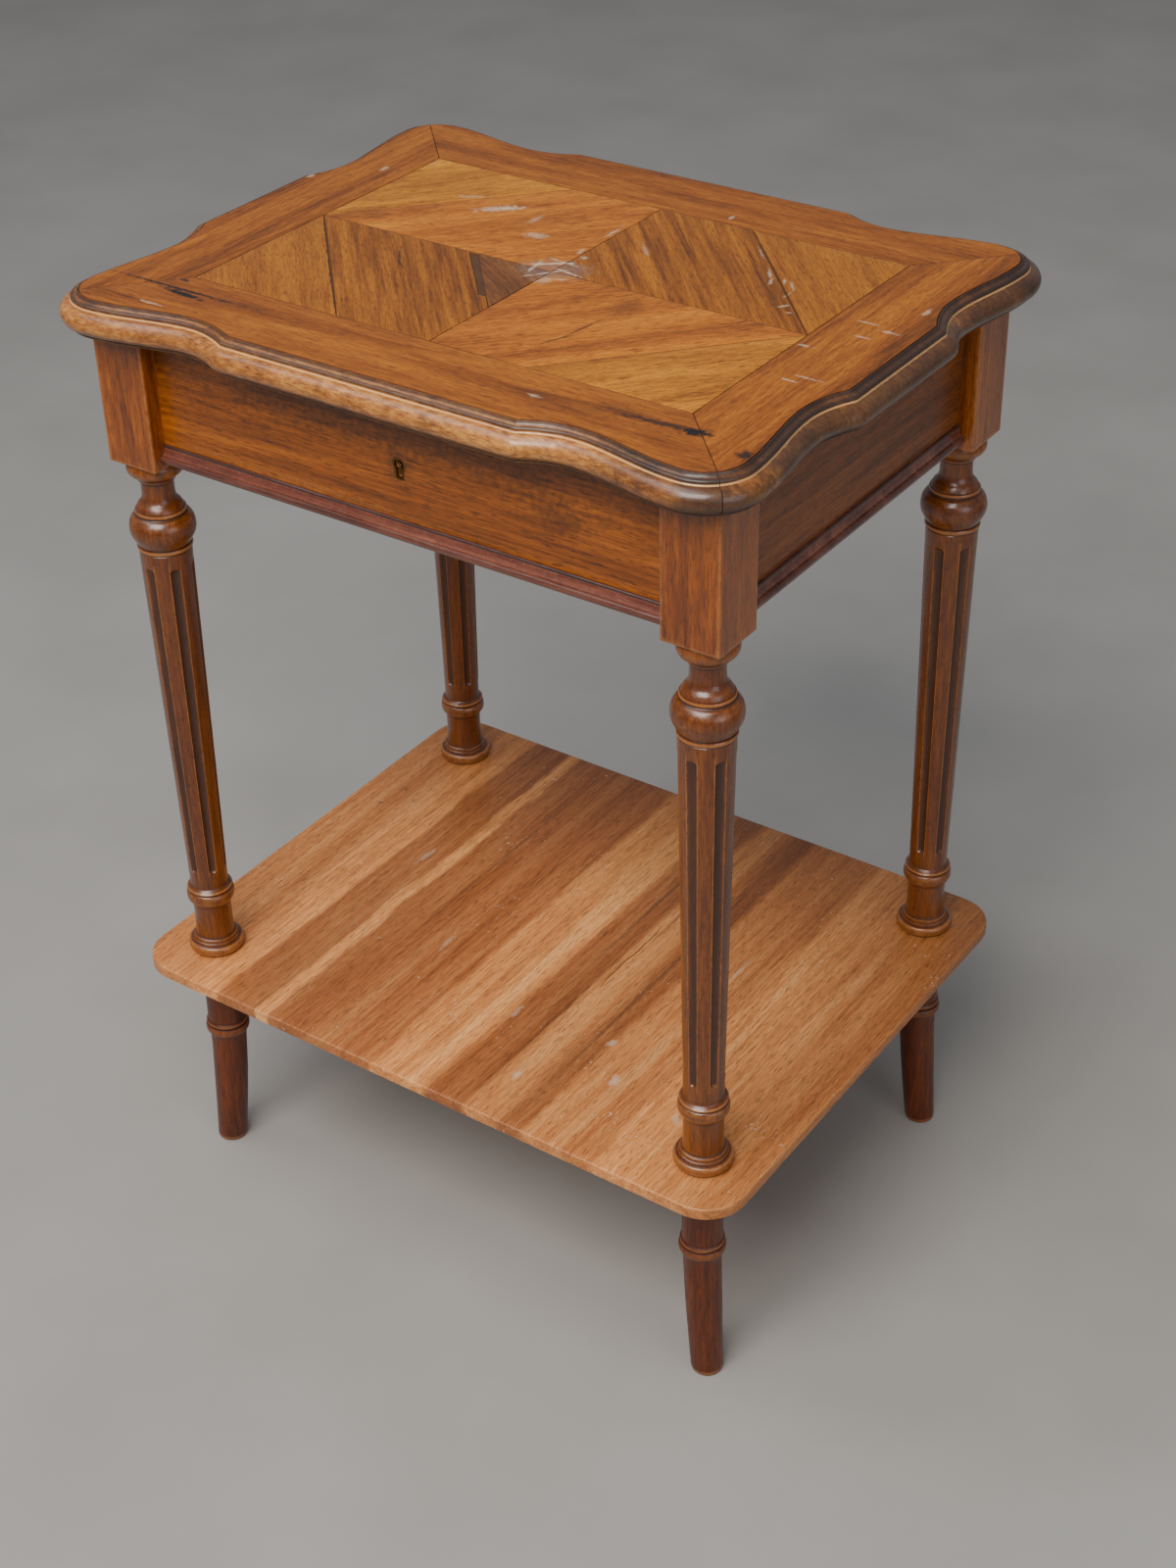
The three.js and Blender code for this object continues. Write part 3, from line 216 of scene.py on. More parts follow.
# %% [markdown]
# ## Walnut and its finish
# Walnut is brown, with darker drifts and streaks that run with the grain, and short open pores that
# look like dark dashes. Each pattern below is a noise stretched along the grain, with its width
# across the grain given in real millimetres. The old shellac polish is glossy on worn high spots and
# dull with grime in hollows, and the hollows are darkened further as painted shade. Every remade
# piece carries a number at each point, called relief, that says how far the point stands proud of
# its surroundings, so wear and grime land where hands and dusters really put them, and the painted
# shade falls in the hollows.

# %% Marks laid on wood
def soft_spot(tree, spots, place_mm, size_mm, turn=0.0, ragged=0.5, firm=0.35):
    """A mask, 1 inside a ragged ellipse on the top or the shelf and 0 outside it."""
    local = add(tree, "ShaderNodeMapping", {
        "Vector": spots,
        "Location": (place_mm[0] / 1000, place_mm[1] / 1000, 0),
        "Rotation": (0, 0, math.radians(turn)),
        "Scale": (size_mm[0] / 1000, size_mm[1] / 1000, 1),
    }, vector_type="TEXTURE")
    fray = add(tree, "ShaderNodeTexNoise", {"Vector": spots, "Scale": 260.0, "Detail": 5.0})
    flat = add(tree, "ShaderNodeVectorMath", {0: local, 1: (1, 1, 0)}, operation="MULTIPLY")
    away = add(tree, "ShaderNodeVectorMath", {0: flat}, take="Value", operation="LENGTH")
    pushed = add(tree, "ShaderNodeMath", {0: fray, 1: ragged * 4, 2: away}, operation="MULTIPLY_ADD")
    return add(tree, "ShaderNodeMapRange", {
        "Value": pushed,
        "From Min": 1 + ragged * 2 + firm,
        "From Max": 1 + ragged * 2 - firm,
    })


def laid_over(tree, under, mask, strength, colour):
    """One colour laid over another where the mask is 1."""
    share = add(tree, "ShaderNodeMath", {0: mask, 1: strength}, operation="MULTIPLY")
    return add(tree, "ShaderNodeMix", {0: share, 6: under, 7: linear(colour)}, data_type="RGBA")


def marked(tree, spots, colour, shade, ragged, firm, rows):
    """Marks of one shade laid over a colour, from rows of place, size, turn and strength."""
    for place, size, turn, strength in rows:
        mark = soft_spot(tree, spots, place, size, turn, ragged, firm)
        colour = laid_over(tree, colour, mark, strength, shade)
    return colour


print("marks can be laid on wood")

# %% Wood
# Real walnut has pores 0.1 to 0.2 mm wide and finer fibres still. Both are drawn coarser here, or
# they would be too fine to show on a whole table.
PORE_MM = 0.8
PORE_STRETCH = 11
FIBRE_MM = 0.45
SHELLAC_IOR = 1.5


def wood(name, grain_turn, shades, figure_mm, streak_mm, worn, grime,
         stretch=16.0, streaks=0.5, wear=0.6, gloss=0.4, coat=0.25, pores=0.5, depth_mm=0.12,
         inside=None, marks=None, boards=None):
    """Polished wood, with the grain turned onto X by grain_turn degrees.

    The three shades run from dark to light. figure_mm is the width of the broad drifts and
    streak_mm that of the streaks. worn is the shade of rubbed edges, and grime that of pores and
    hollows, where it stands for grime and painted shade together.
    """
    material, tree = blank_material(name)
    spots = add(tree, "ShaderNodeTexCoord", take="Object")
    turned = add(tree, "ShaderNodeMapping", {
        "Vector": spots,
        "Rotation": [math.radians(a) for a in grain_turn],
    })
    along = add(tree, "ShaderNodeMapping", {"Vector": turned, "Scale": (1 / stretch, 1, 1)})
    drift = add(tree, "ShaderNodeTexNoise", {
        "Vector": along, "Scale": 1000 / figure_mm, "Detail": 3.0, "Distortion": 0.8,
    })
    streak = add(tree, "ShaderNodeTexNoise", {
        "Vector": along, "Scale": 1000 / streak_mm, "Detail": 5.0, "Roughness": 0.62,
    })
    fibre = add(tree, "ShaderNodeTexNoise", {
        "Vector": along, "Scale": 1000 / FIBRE_MM, "Detail": 2.0,
    })
    blend = add(tree, "ShaderNodeMix", {0: streaks, 2: drift, 3: streak}, data_type="FLOAT")
    spread = add(tree, "ShaderNodeMapRange", {"Value": blend, "From Min": 0.32, "From Max": 0.68})
    colour = add(tree, "ShaderNodeValToRGB", {"Fac": spread}, stops=[
        (0.0, shades[0]), (0.5, shades[1]), (1.0, shades[2]),
    ])
    if boards:
        colour = boards(tree, spots, colour)
    lines = add(tree, "ShaderNodeMapRange", {
        "Value": fibre, "From Min": 0.35, "From Max": 0.65, "To Min": 0.8, "To Max": 1.14,
    })
    colour = add(tree, "ShaderNodeMix", {0: 1.0, 6: colour, 7: lines}, data_type="RGBA",
                 blend_type="MULTIPLY")
    short = add(tree, "ShaderNodeMapping", {"Vector": turned, "Scale": (1 / PORE_STRETCH, 1, 1)})
    pore = add(tree, "ShaderNodeTexNoise", {"Vector": short, "Scale": 1000 / PORE_MM, "Detail": 1.0})
    dashes = add(tree, "ShaderNodeMapRange", {"Value": pore, "From Min": 0.58, "From Max": 0.67})
    colour = laid_over(tree, colour, dashes, pores, grime)
    if marks:
        colour = marks(tree, spots, colour)
    if inside:
        colour = inside(tree, spots, colour)
    relief = add(tree, "ShaderNodeAttribute", take="Fac", attribute_name="relief")
    rub = add(tree, "ShaderNodeTexNoise", {
        "Vector": spots, "Scale": 190.0, "Detail": 6.0, "Roughness": 0.7,
    })
    # The grime colour laid where the relief is low is grime and painted shade in the hollows together.
    hollow = add(tree, "ShaderNodeMapRange", {"Value": relief, "From Min": -0.12, "From Max": -0.75})
    colour = laid_over(tree, colour, hollow, 0.8, grime)
    rubbed = add(tree, "ShaderNodeMath", {0: rub, 1: 0.9, 2: relief}, operation="MULTIPLY_ADD")
    proud = add(tree, "ShaderNodeMapRange", {"Value": rubbed, "From Min": 0.62, "From Max": 1.05})
    colour = laid_over(tree, colour, proud, wear, worn)
    bare = add(tree, "ShaderNodeMath", {0: rub, 1: 0.35, 2: gloss - 0.17}, operation="MULTIPLY_ADD")
    rough = add(tree, "ShaderNodeMath", {0: hollow, 1: 0.25, 2: bare}, operation="MULTIPLY_ADD")
    height = add(tree, "ShaderNodeMath", {0: dashes, 1: -0.8, 2: fibre}, operation="MULTIPLY_ADD")
    bump = add(tree, "ShaderNodeBump", {
        "Strength": 0.5, "Distance": depth_mm / 1000, "Height": height,
    })
    shader = add(tree, "ShaderNodeBsdfPrincipled", {
        "Base Color": colour,
        "Roughness": rough,
        "IOR": SHELLAC_IOR,
        "Coat Weight": coat,
        "Coat Roughness": 0.22,
        "Normal": bump,
    })
    add(tree, "ShaderNodeOutputMaterial", {"Surface": shader})
    return material


print("the wood recipe is ready")

# %% [markdown]
# ## Fine surfaces
# A turned leg, a mould run along the lid's edge and a bead under a rail are all one outline carried
# along a path. So one helper skins a row of closed loops, and each piece only has to say where its
# loops lie. Edges stay crisp where two faces meet at a steep angle, and smooth elsewhere.

# %% Finish a mesh
MM = 0.001
CRISP = math.radians(32)


def finish_mesh(name, mesh, material, body, stands_for):
    """Turns a mesh into a piece that rides on its body and stands for its frame nodes."""
    work = bmesh.new()
    work.from_mesh(mesh)
    bmesh.ops.recalc_face_normals(work, faces=work.faces)
    work.to_mesh(mesh)
    work.free()
    mesh.shade_smooth()
    mesh.set_sharp_from_angle(angle=CRISP)
    mesh.materials.append(material)
    piece = bpy.data.objects.new(name, mesh)
    bpy.context.scene.collection.objects.link(piece)
    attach(piece, body)
    if stands_for:
        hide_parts(*stands_for)
    return piece


def store_relief(mesh, values):
    layer = mesh.attributes.new("relief", "FLOAT", "POINT")
    layer.data.foreach_set("value", values)


print("edges sharper than", round(math.degrees(CRISP)), "degrees stay crisp")


# %% Skin a row of loops
def skin(name, loops, relief, material, body, stands_for=(), ring=False):
    """A closed surface through loops of equal length. relief has a value a point.

    It has flat ends, unless it is a ring, whose last loop joins the first.
    """
    count = len(loops[0])
    points = [point for loop in loops for point in loop]
    faces = []
    for row in range(len(loops) if ring else len(loops) - 1):
        for i in range(count):
            j = (i + 1) % count
            start, after = row * count, (row + 1) % len(loops) * count
            faces.append((start + i, start + j, after + j, after + i))
    if not ring:
        last = (len(loops) - 1) * count
        faces.append(tuple(reversed(range(count))))
        faces.append(tuple(last + i for i in range(count)))
    mesh = bpy.data.meshes.new(name)
    mesh.from_pydata(points, [], faces)
    store_relief(mesh, [value for row in relief for value in row])
    return finish_mesh(name, mesh, material, body, stands_for)


print("loops can be skinned")


# %% Curves for outlines
def fair(points, steps=5):
    """A smooth curve through the points, ends included."""
    ends = [points[0], *points, points[-1]]
    curve = []
    for i in range(1, len(ends) - 2):
        a, b, c, d = (Vector(p) for p in ends[i - 1 : i + 3])
        for k in range(steps):
            t = k / steps
            spot = 2 * b + (c - a) * t + (2 * a - 5 * b + 4 * c - d) * t**2
            curve.append(tuple((spot + (3 * b - a - 3 * c + d) * t**3) / 2))
    return [*curve, tuple(points[-1])]


def half_round(radius, swell, foot, top, steps=9):
    """A half bead from foot up to top, that stands out from the radius by swell."""
    middle, half = (foot + top) / 2, (top - foot) / 2
    turns = [math.pi * i / steps for i in range(steps + 1)]
    return [(radius + swell * math.sin(t), middle - half * math.cos(t)) for t in turns]


def proudness(outline, reach=2.2, scale=0.55):
    """For each point of an outline, how far it stands out from its neighbours, from -1 to 1."""
    places = [0.0]
    for before, after in zip(outline, outline[1:]):
        places.append(places[-1] + math.dist(before, after))
    values = []
    for i, point in enumerate(outline):
        total, middle = 0.0, Vector((0, 0))
        for j, other in enumerate(outline):
            gap = (places[j] - places[i]) / reach
            if abs(gap) > 3:
                continue
            span = places[min(j + 1, len(places) - 1)] - places[max(j - 1, 0)]
            share = math.exp(-gap * gap) * max(span, 1e-6)
            total += share
            middle += Vector(other) * share
        before, after = outline[max(i - 1, 0)], outline[min(i + 1, len(outline) - 1)]
        along = Vector((after[0] - before[0], after[1] - before[1]))
        outward = Vector((along.y, -along.x)).normalized() if along.length > 1e-9 else Vector((1, 0))
        out = (Vector(point) - middle / total).dot(outward) / scale
        values.append(max(-1.0, min(1.0, out)))
    return values


print("outline helpers are ready")

# %% [markdown]
# ## Turned legs
# Each leg is one stick: a square block that the rails join, a neck and a bulb, a tapering shaft with
# six flutes cut by hand, and rings near the foot. A lathe turns the round part, so its outline is
# drawn once and spun. The flutes are sunk by lowering the points of the spun surface, which keeps
# one clean skin. The spun points stand closer together at the flutes' edges and at the block's
# corners, because that is where the shape turns.

# %% Leg sizes
SHELF_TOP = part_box("shelf")[1].z / MM
BLOCK_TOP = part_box("leg_front_left")[1].z / MM
BLOCK_HEIGHT = 95.7
BLOCK_HALF = 20.0
BLOCK_FOOT = BLOCK_TOP - BLOCK_HEIGHT
BLOCK_ARRIS = 0.9
SHAFT_LOW = (13.5, 57.2)  # radius, height over the shelf
SHAFT_HIGH = (17.7, BLOCK_FOOT - SHELF_TOP - 66)
FLUTE_EVERY = 60
FLUTE_HALF_TURN = 12.0
FLUTE_DEPTH = (1.8, 2.3)  # at the foot and at the top
FLUTE_LOW = SHAFT_LOW[1] + 14.3
FLUTE_HIGH = SHAFT_HIGH[1] - 10
HALF_TURNS = (3.5, 7, 10, FLUTE_HALF_TURN, 13.3, 15, 16.7, 20, 25)
print("the block's foot is", round(BLOCK_FOOT, 1), "mm up, the shelf's top", round(SHELF_TOP, 1))


# %% Wood of the legs
def darker_shaft(tree, spots, colour):
    """Darkens the turned part below the planed block above it."""
    height = add(tree, "ShaderNodeSeparateXYZ", {"Vector": spots}, take="Z")
    shaft = add(tree, "ShaderNodeMapRange", {
        "Value": height,
        "From Min": (BLOCK_FOOT + 2) * MM,
        "From Max": (BLOCK_FOOT - 12) * MM,
    })
    return laid_over(tree, colour, shaft, 0.5, "#2a1004")


# Walnut turned on a lathe, then shellacked: a red-brown glow, with gloss on the rings and nearly
# black hollows and flutes, dark with grime and painted shade.
turned_walnut = wood(
    "turned walnut under worn shellac", (0, 90, 0), ("#582300", "#8c4502", "#b26205"), 16, 2.2,
    worn="#b9783c", grime="#240f05", stretch=14, streaks=0.55, wear=0.5, gloss=0.3, coat=0.55,
    boards=darker_shaft,
)
print("material:", turned_walnut.name)


# %% Leg outline
def spin_angles():
    """Angles round the leg, in radians, closest where a flute or a corner of the block turns."""
    offsets = sorted([0, 30, *HALF_TURNS, *[-turn for turn in HALF_TURNS]])
    centres = [-90 + FLUTE_EVERY * i for i in range(360 // FLUTE_EVERY)]
    return [math.radians(centre + offset) for centre in centres for offset in offsets]


def flute_offset(angle):
    """Degrees from the middle of the nearest flute."""
    return (math.degrees(angle) + 90 + FLUTE_EVERY / 2) % FLUTE_EVERY - FLUTE_EVERY / 2


def flute_at(angle, height, radius):
    """How deep the flute is at a point of the shaft, and that depth's share of the full one."""
    half = radius * math.radians(FLUTE_HALF_TURN)
    past_end = max(0.0, FLUTE_LOW + half - height, height - (FLUTE_HIGH - half))
    aside = radius * math.radians(flute_offset(angle))
    share = max(0.0, 1 - (aside**2 + past_end**2) / half**2) ** 0.62
    rise = (height - FLUTE_LOW) / (FLUTE_HIGH - FLUTE_LOW)
    return (FLUTE_DEPTH[0] + (FLUTE_DEPTH[1] - FLUTE_DEPTH[0]) * rise) * share, share


def block_point(angle, half, arris):
    """A point on a square with rounded corners, in the direction of the angle."""
    x, y = math.cos(angle), math.sin(angle)
    grow = half / max(abs(x), abs(y))
    x, y = x * grow, y * grow
    core = half - arris
    if abs(x) > core and abs(y) > core:
        corner = Vector((math.copysign(core, x), math.copysign(core, y)))
        spot = corner + (Vector((x, y)) - corner).normalized() * arris
        return spot.x, spot.y
    return x, y


def shaft_heights():
    """Heights of the rings up the shaft: close at the flutes' rounded ends, wide between them."""
    low = [FLUTE_LOW - 0.4 + 0.45 * i for i in range(12)]
    high = [FLUTE_HIGH - 4.6 + 0.45 * i for i in range(12)]
    steps = 24
    between = [low[-1] + (high[0] - low[-1]) * i / steps for i in range(1, steps)]
    return [*low, *between, *high]


def leg_outline():
    """Radius and height over the shelf, from the pin in the shelf up to the block."""
    rise = BLOCK_FOOT - SHELF_TOP
    foot = [
        (6.8, -38.5), (8, -37.3), (8, 0), (17.6, 0), (18.2, 0.5),
        *half_round(18.2, 2.0, 0.8, 8.0), (17.1, 8.4), (16.9, 9.1), (16.7, 10.0),
        (15.8, 10.5), (15.6, 11.4), (15.4, 12.4), (14.2, 13.1),
        *fair([(13.9, 14.2), (13.6, 21), (13.5, 32), (13.8, 41.6)]),
        (14.7, 42.0), (15.1, 42.8), *half_round(15.1, 2.2, 43.4, 52.6),
        (15.5, 53.1), (16.1, 53.7), (16.3, 54.6), (15.6, 55.4), (14.2, 56.2),
    ]
    low, high = SHAFT_LOW, SHAFT_HIGH
    shaft = [low]
    for height in shaft_heights():
        share = (height - low[1]) / (high[1] - low[1])
        shaft.append((low[0] + (high[0] - low[0]) * share, height))
    shaft.append(high)
    head = [
        (17.4, rise - 65.6), *half_round(17.6, 1.0, rise - 65.2, rise - 61.8, 6),
        *fair([(17.9, rise - 61.2), (19.4, rise - 58.4), (21.5, rise - 54), (22.1, rise - 49.6),
               (21.2, rise - 44.6), (18.9, rise - 41), (17.2, rise - 39.8)]),
        (16.7, rise - 39.3), (17.0, rise - 38.4), (17.1, rise - 37.2), (16.7, rise - 36.4),
        (15.9, rise - 36.1), (15.8, rise - 35.4),
        *fair([(15.6, rise - 34.9), (14.3, rise - 32.6), (12.4, rise - 30.4), (11.2, rise - 27.2),
               (10.9, rise - 22), (11.0, rise - 16.2)]),
        (11.6, rise - 15.4), (12.7, rise - 15.0), (12.9, rise - 13.9),
        *fair([(13.2, rise - 13.2), (14.8, rise - 11.4), (17.2, rise - 10.2), (18.8, rise - 7.4),
               (18.9, rise - 4.4), (18.2, rise - 2.0), (17.4, rise - 0.9)]),
        (17.2, rise),
    ]
    return [*foot, *shaft, *head]


print("leg outline:", len(leg_outline()), "points,", len(spin_angles()), "round")


# %% Turn the legs
# Up the block: height over its foot, how far its faces stand out, and its relief.
BLOCK_STEPS = (
    (0, -0.6, 0.1), (0.25, -0.15, 0.5), (0.9, 0, 0.4), (3, 0, 0.1),
    *[(BLOCK_HEIGHT * i / 8, 0, 0.0) for i in range(1, 8)],
    (BLOCK_HEIGHT - 0.5, 0, 0.2), (BLOCK_HEIGHT - 0.1, -0.2, 0.5), (BLOCK_HEIGHT, -0.6, 0.3),
)


def shaft_loop(centre, radius, height, stand, angles):
    """A loop of the turned part and its relief. Handwork leaves it a tenth of a millimetre off."""
    fluted = FLUTE_LOW - 1 < height < FLUTE_HIGH + 1
    z = (SHELF_TOP + height) * MM
    loop, relief = [], []
    for angle in angles:
        depth, share = flute_at(angle, height, radius) if fluted else (0.0, 0.0)
        spot = Vector((math.cos(angle), math.sin(angle), height / 14))
        uneven = 0.09 * noise.noise(spot * 2.2 + centre * 40) if height > 1 else 0.0
        out = (radius - depth + uneven) * MM
        loop.append((centre.x + out * math.cos(angle), centre.y + out * math.sin(angle), z))
        if share > 0.02:
            relief.append(-0.25 - 0.5 * share)
        elif fluted and abs(abs(flute_offset(angle)) - FLUTE_HALF_TURN) < 1.5:
            relief.append(0.5)
        else:
            relief.append(stand)
    return loop, relief


def block_loop(centre, rise, grow, stand, angles):
    """A loop of the square block and its relief, proud along the four arrises."""
    z = (BLOCK_FOOT + rise) * MM
    spots = [block_point(angle, BLOCK_HALF + grow, BLOCK_ARRIS) for angle in angles]
    loop = [(centre.x + x * MM, centre.y + y * MM, z) for x, y in spots]
    arris = [min(abs(x), abs(y)) > BLOCK_HALF - 1.2 for x, y in spots]
    return loop, [0.45 if near else stand for near in arris]


def turn_leg(corner):
    low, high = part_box("leg_" + corner)
    centre = (low + high) / 2
    angles = spin_angles()
    outline = leg_outline()
    rows = [
        shaft_loop(centre, radius, height, stand, angles)
        for (radius, height), stand in zip(outline, proudness(outline))
    ]
    rows += [block_loop(centre, *step, angles) for step in BLOCK_STEPS]
    loops, relief = zip(*rows)
    return skin("leg_turned_" + corner, loops, relief, turned_walnut, "frame",
                ["leg_" + corner])


CORNERS = {
    "front_left": (-1, -1), "front_right": (1, -1), "rear_left": (-1, 1), "rear_right": (1, 1),
}
for corner in CORNERS:
    leg = turn_leg(corner)
print("four legs, each with", len(leg.data.vertices), "points")

# %% [markdown]
# ## Kicked feet
# Under the shelf each leg goes on as a short foot with one ring, like a joint of bamboo, and it
# leans outwards more and more towards the floor. It is turned straight and then bent, so the loops
# are spun first and then moved aside by how far they lie below the ring. The foot has a socket for
# the pin that comes down through the shelf.

# %% Wood and sizes of the feet
FOOT_RING = 112.0
FOOT_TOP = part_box("foot_front_left")[1].z / MM
SOCKET_RADIUS = 8.3
SOCKET_DEPTH = 33.0
KICK = (6.8, 3.2)  # how far the toe goes sideways, and forwards or back
FOOT_SEGMENTS = 72

# The same turned walnut, darkened by mops and boots, and duller because nobody polishes it there.
foot_walnut = wood(
    "turned walnut, dark from the floor", (0, 90, 0), ("#381200", "#5b2402", "#7e3703"), 16, 2.4,
    worn="#a86a3a", grime="#1c0c06", stretch=12, streaks=0.55, wear=0.5, gloss=0.42, coat=0.12,
)
print("material:", foot_walnut.name)


# %% Turn the feet
def foot_outline():
    """Radius and height over the floor, from the socket's bottom round to the toe."""
    ring = FOOT_RING
    return [
        (SOCKET_RADIUS, FOOT_TOP - SOCKET_DEPTH), (SOCKET_RADIUS, FOOT_TOP),
        (13.9, FOOT_TOP), (14.3, FOOT_TOP - 0.4),
        *fair([(14.3, FOOT_TOP - 6), (14.0, 150), (13.9, 130), (14.2, ring + 7.4)]),
        (14.9, ring + 6.6), (15.4, ring + 5.6), (15.3, ring + 4.4), (14.8, ring + 3.5),
        *reversed(half_round(14.8, 1.5, ring - 3.6, ring + 3.0, 8)),
        (14.6, ring - 4.4),
        *fair([(14.3, ring - 5), (13.5, ring - 9), (13.1, ring - 18), (12.8, 66), (12.2, 40),
               (11.6, 18), (11.2, 3)]),
        (10.9, 1.4), (10.2, 0.4), (9.0, 0.0),
    ]


def turn_foot(corner, sign_x, sign_y):
    """A foot, spun straight and then bent outwards below its ring."""
    low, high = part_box("leg_" + corner)
    centre = (low + high) / 2
    outline = foot_outline()
    standing = [-v for v in proudness(outline)]
    loops, relief = [], []
    for (radius, height), stand in zip(outline, standing):
        kick = max(0.0, 1 - height / (FOOT_RING - 4)) ** 1.3
        x = centre.x + sign_x * KICK[0] * kick * MM
        y = centre.y + sign_y * KICK[1] * kick * MM
        loop = []
        for i in range(FOOT_SEGMENTS):
            angle = 2 * math.pi * i / FOOT_SEGMENTS
            spot = Vector((math.cos(angle), math.sin(angle), height / 12))
            out = (radius + 0.1 * noise.noise(spot * 2 + centre * 31)) * MM
            loop.append((x + out * math.cos(angle), y + out * math.sin(angle), height * MM))
        loops.append(loop)
        relief.append([stand if height > 4 else 0.7] * FOOT_SEGMENTS)
    return skin("foot_turned_" + corner, loops, relief, foot_walnut, "frame",
                ["foot_" + corner])


for corner, (sign_x, sign_y) in CORNERS.items():
    foot = turn_foot(corner, sign_x, sign_y)
print("four feet, each with", len(foot.data.vertices), "points")

# %% [markdown]
# ## The lid's outline
# The lid is a rectangle whose sides swing in and out again before each corner, which is turned on a
# round. One outline serves the moulding and the border veneers. It is worked out as a distance out
# from the middle, eased like a drawn curve, with the direction square to it at each station, so that
# a moulding keeps its width round the bends.

# %% Lid outline
LID_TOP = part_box("border_veneer_front")[1].z / MM
LID_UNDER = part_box("lid_moulding_front")[0].z / MM
CORNER_ROUND = 24.5
# Half width, where the bend starts, its run, how far it goes in, and how far out the lobe ends.
LONG_WAVE = (182.5, 106.0, 34.0, 9.5, 2.5)
SHORT_WAVE = (241.0, 52.0, 36.0, 10.0, -1.5)


def eased(t):
    """From 0 to 1, gentle at both ends."""
    t = max(0.0, min(1.0, t))
    return t * t * (3 - 2 * t)


def turned_off(t):
    """Leaves at once and arrives gently, which makes a crisp corner at the start."""
    return 1 - (1 - t) ** 2


def side_out(wave, lobe_at, along):
    """How far out the side lies, at a distance along it from its middle."""
    half, start, run, depth, lobe = wave
    distance = abs(along)
    if distance <= start + run:
        return half - depth * turned_off(max(0.0, distance - start) / run)
    return half - depth + (depth + lobe) * eased((distance - start - run) / (lobe_at - start - run))


def side_stations(wave, other, step=3.0, mitre=45.0):
    """Places along one side with the direction out: (along, out, n_along, n_out) in millimetres."""
    lobe_at = other[0] + other[4] - CORNER_ROUND
    centre = wave[0] + wave[4] - CORNER_ROUND
    count = round(lobe_at / step)
    corner = wave[1]
    distances = [*[lobe_at * i / count for i in range(count)], corner - 0.3, corner, corner + 0.3]
    right = []
    for along in sorted(distances):
        if 0.35 < abs(along - corner) < 1.5:
            continue  # only the three added stations stand close to the crisp corner
        slope = (side_out(wave, lobe_at, along + 0.05) - side_out(wave, lobe_at, along - 0.05)) / 0.1
        length = math.hypot(1, slope)
        right.append((along, side_out(wave, lobe_at, along), -slope / length, 1 / length))
    for i in range(13):
        turn = math.radians(mitre) * i / 12
        sine, cosine = math.sin(turn), math.cos(turn)
        right.append((lobe_at + CORNER_ROUND * sine, centre + CORNER_ROUND * cosine, sine, cosine))
    left = [(-a, o, -n, m) for a, o, n, m in reversed(right[1:])]
    return [*left, *right]


SIDES = {
    "front": (LONG_WAVE, SHORT_WAVE, lambda along, out: (along, -out)),
    "right": (SHORT_WAVE, LONG_WAVE, lambda along, out: (out, along)),
    "rear": (LONG_WAVE, SHORT_WAVE, lambda along, out: (-along, out)),
    "left": (SHORT_WAVE, LONG_WAVE, lambda along, out: (-out, -along)),
}
print("front side has", len(side_stations(LONG_WAVE, SHORT_WAVE)), "stations")

# %% [markdown]
# ## The lid's moulding
# The edge is solid walnut, planed where it runs straight and carved where it has to turn. It has a
# flat lip against the veneer, a small hollow, a little bead and a big half round below. Its arrises
# have been dusted for a century, so they are rubbed to bare golden wood, while the hollows are
# nearly black with grime and painted shade, and the half round's underside is darkened as painted
# shade. The four lengths meet at mitred corners with a hairline between them. One section
# is carried along the outline, because that is how the real edge keeps its shape round the bends.

# %% Wood of the moulding
def patina_and_right_shade(tree, spots, colour):
    """Old dark polish in clouds, thin in front and thicker towards the right side and the front right
    corner, where the thickening is painted shade.
    """
    parts = add(tree, "ShaderNodeSeparateXYZ", {"Vector": spots}, take="X")
    cloud = add(tree, "ShaderNodeTexNoise", {
        "Vector": spots, "Scale": 26.0, "Detail": 6.0, "Roughness": 0.6,
    })
    # The rise towards the right side paints in the shade that side of the lid falls in.
    side = add(tree, "ShaderNodeMapRange", {
        "Value": parts, "From Min": 0.14, "From Max": 0.235, "To Min": -0.02, "To Max": 0.3,
    })
    thick = add(tree, "ShaderNodeMath", {0: cloud, 1: side}, operation="ADD")
    film = add(tree, "ShaderNodeMapRange", {"Value": thick, "From Min": 0.52, "From Max": 0.76})
    return laid_over(tree, colour, film, 0.78, "#2b1a14")


# Carved walnut under old polish: golden where it is rubbed, and that pale worn shade on the half round's
# crown is also a painted highlight; black in the hollow with grime and painted shade; cloudy on the big
# half round.
moulding_walnut = wood(
    "carved walnut moulding with rubbed edges", (0, 0, 0), ("#5b2f10", "#a9672a", "#dc9c4e"), 30, 2.6,
    worn="#e6b880", grime="#1f1211", stretch=2.5, streaks=0.55, wear=0.7, gloss=0.34, coat=0.5,
    pores=0.5, marks=patina_and_right_shade,
)
print("material:", moulding_walnut.name)


# %% Moulding
HAIRLINE = 0.15  # millimetres left open at each side of a mitre
MITRE_TRIM = math.degrees(math.atan(HAIRLINE / CORNER_ROUND))
HOLLOW_ENDS = 4.9  # the lip, hollow and little bead lie within this distance of the veneer
# Below this depth the half round's underside is darkened, as painted shade.
SHADED_UNDERSIDE = 17.5


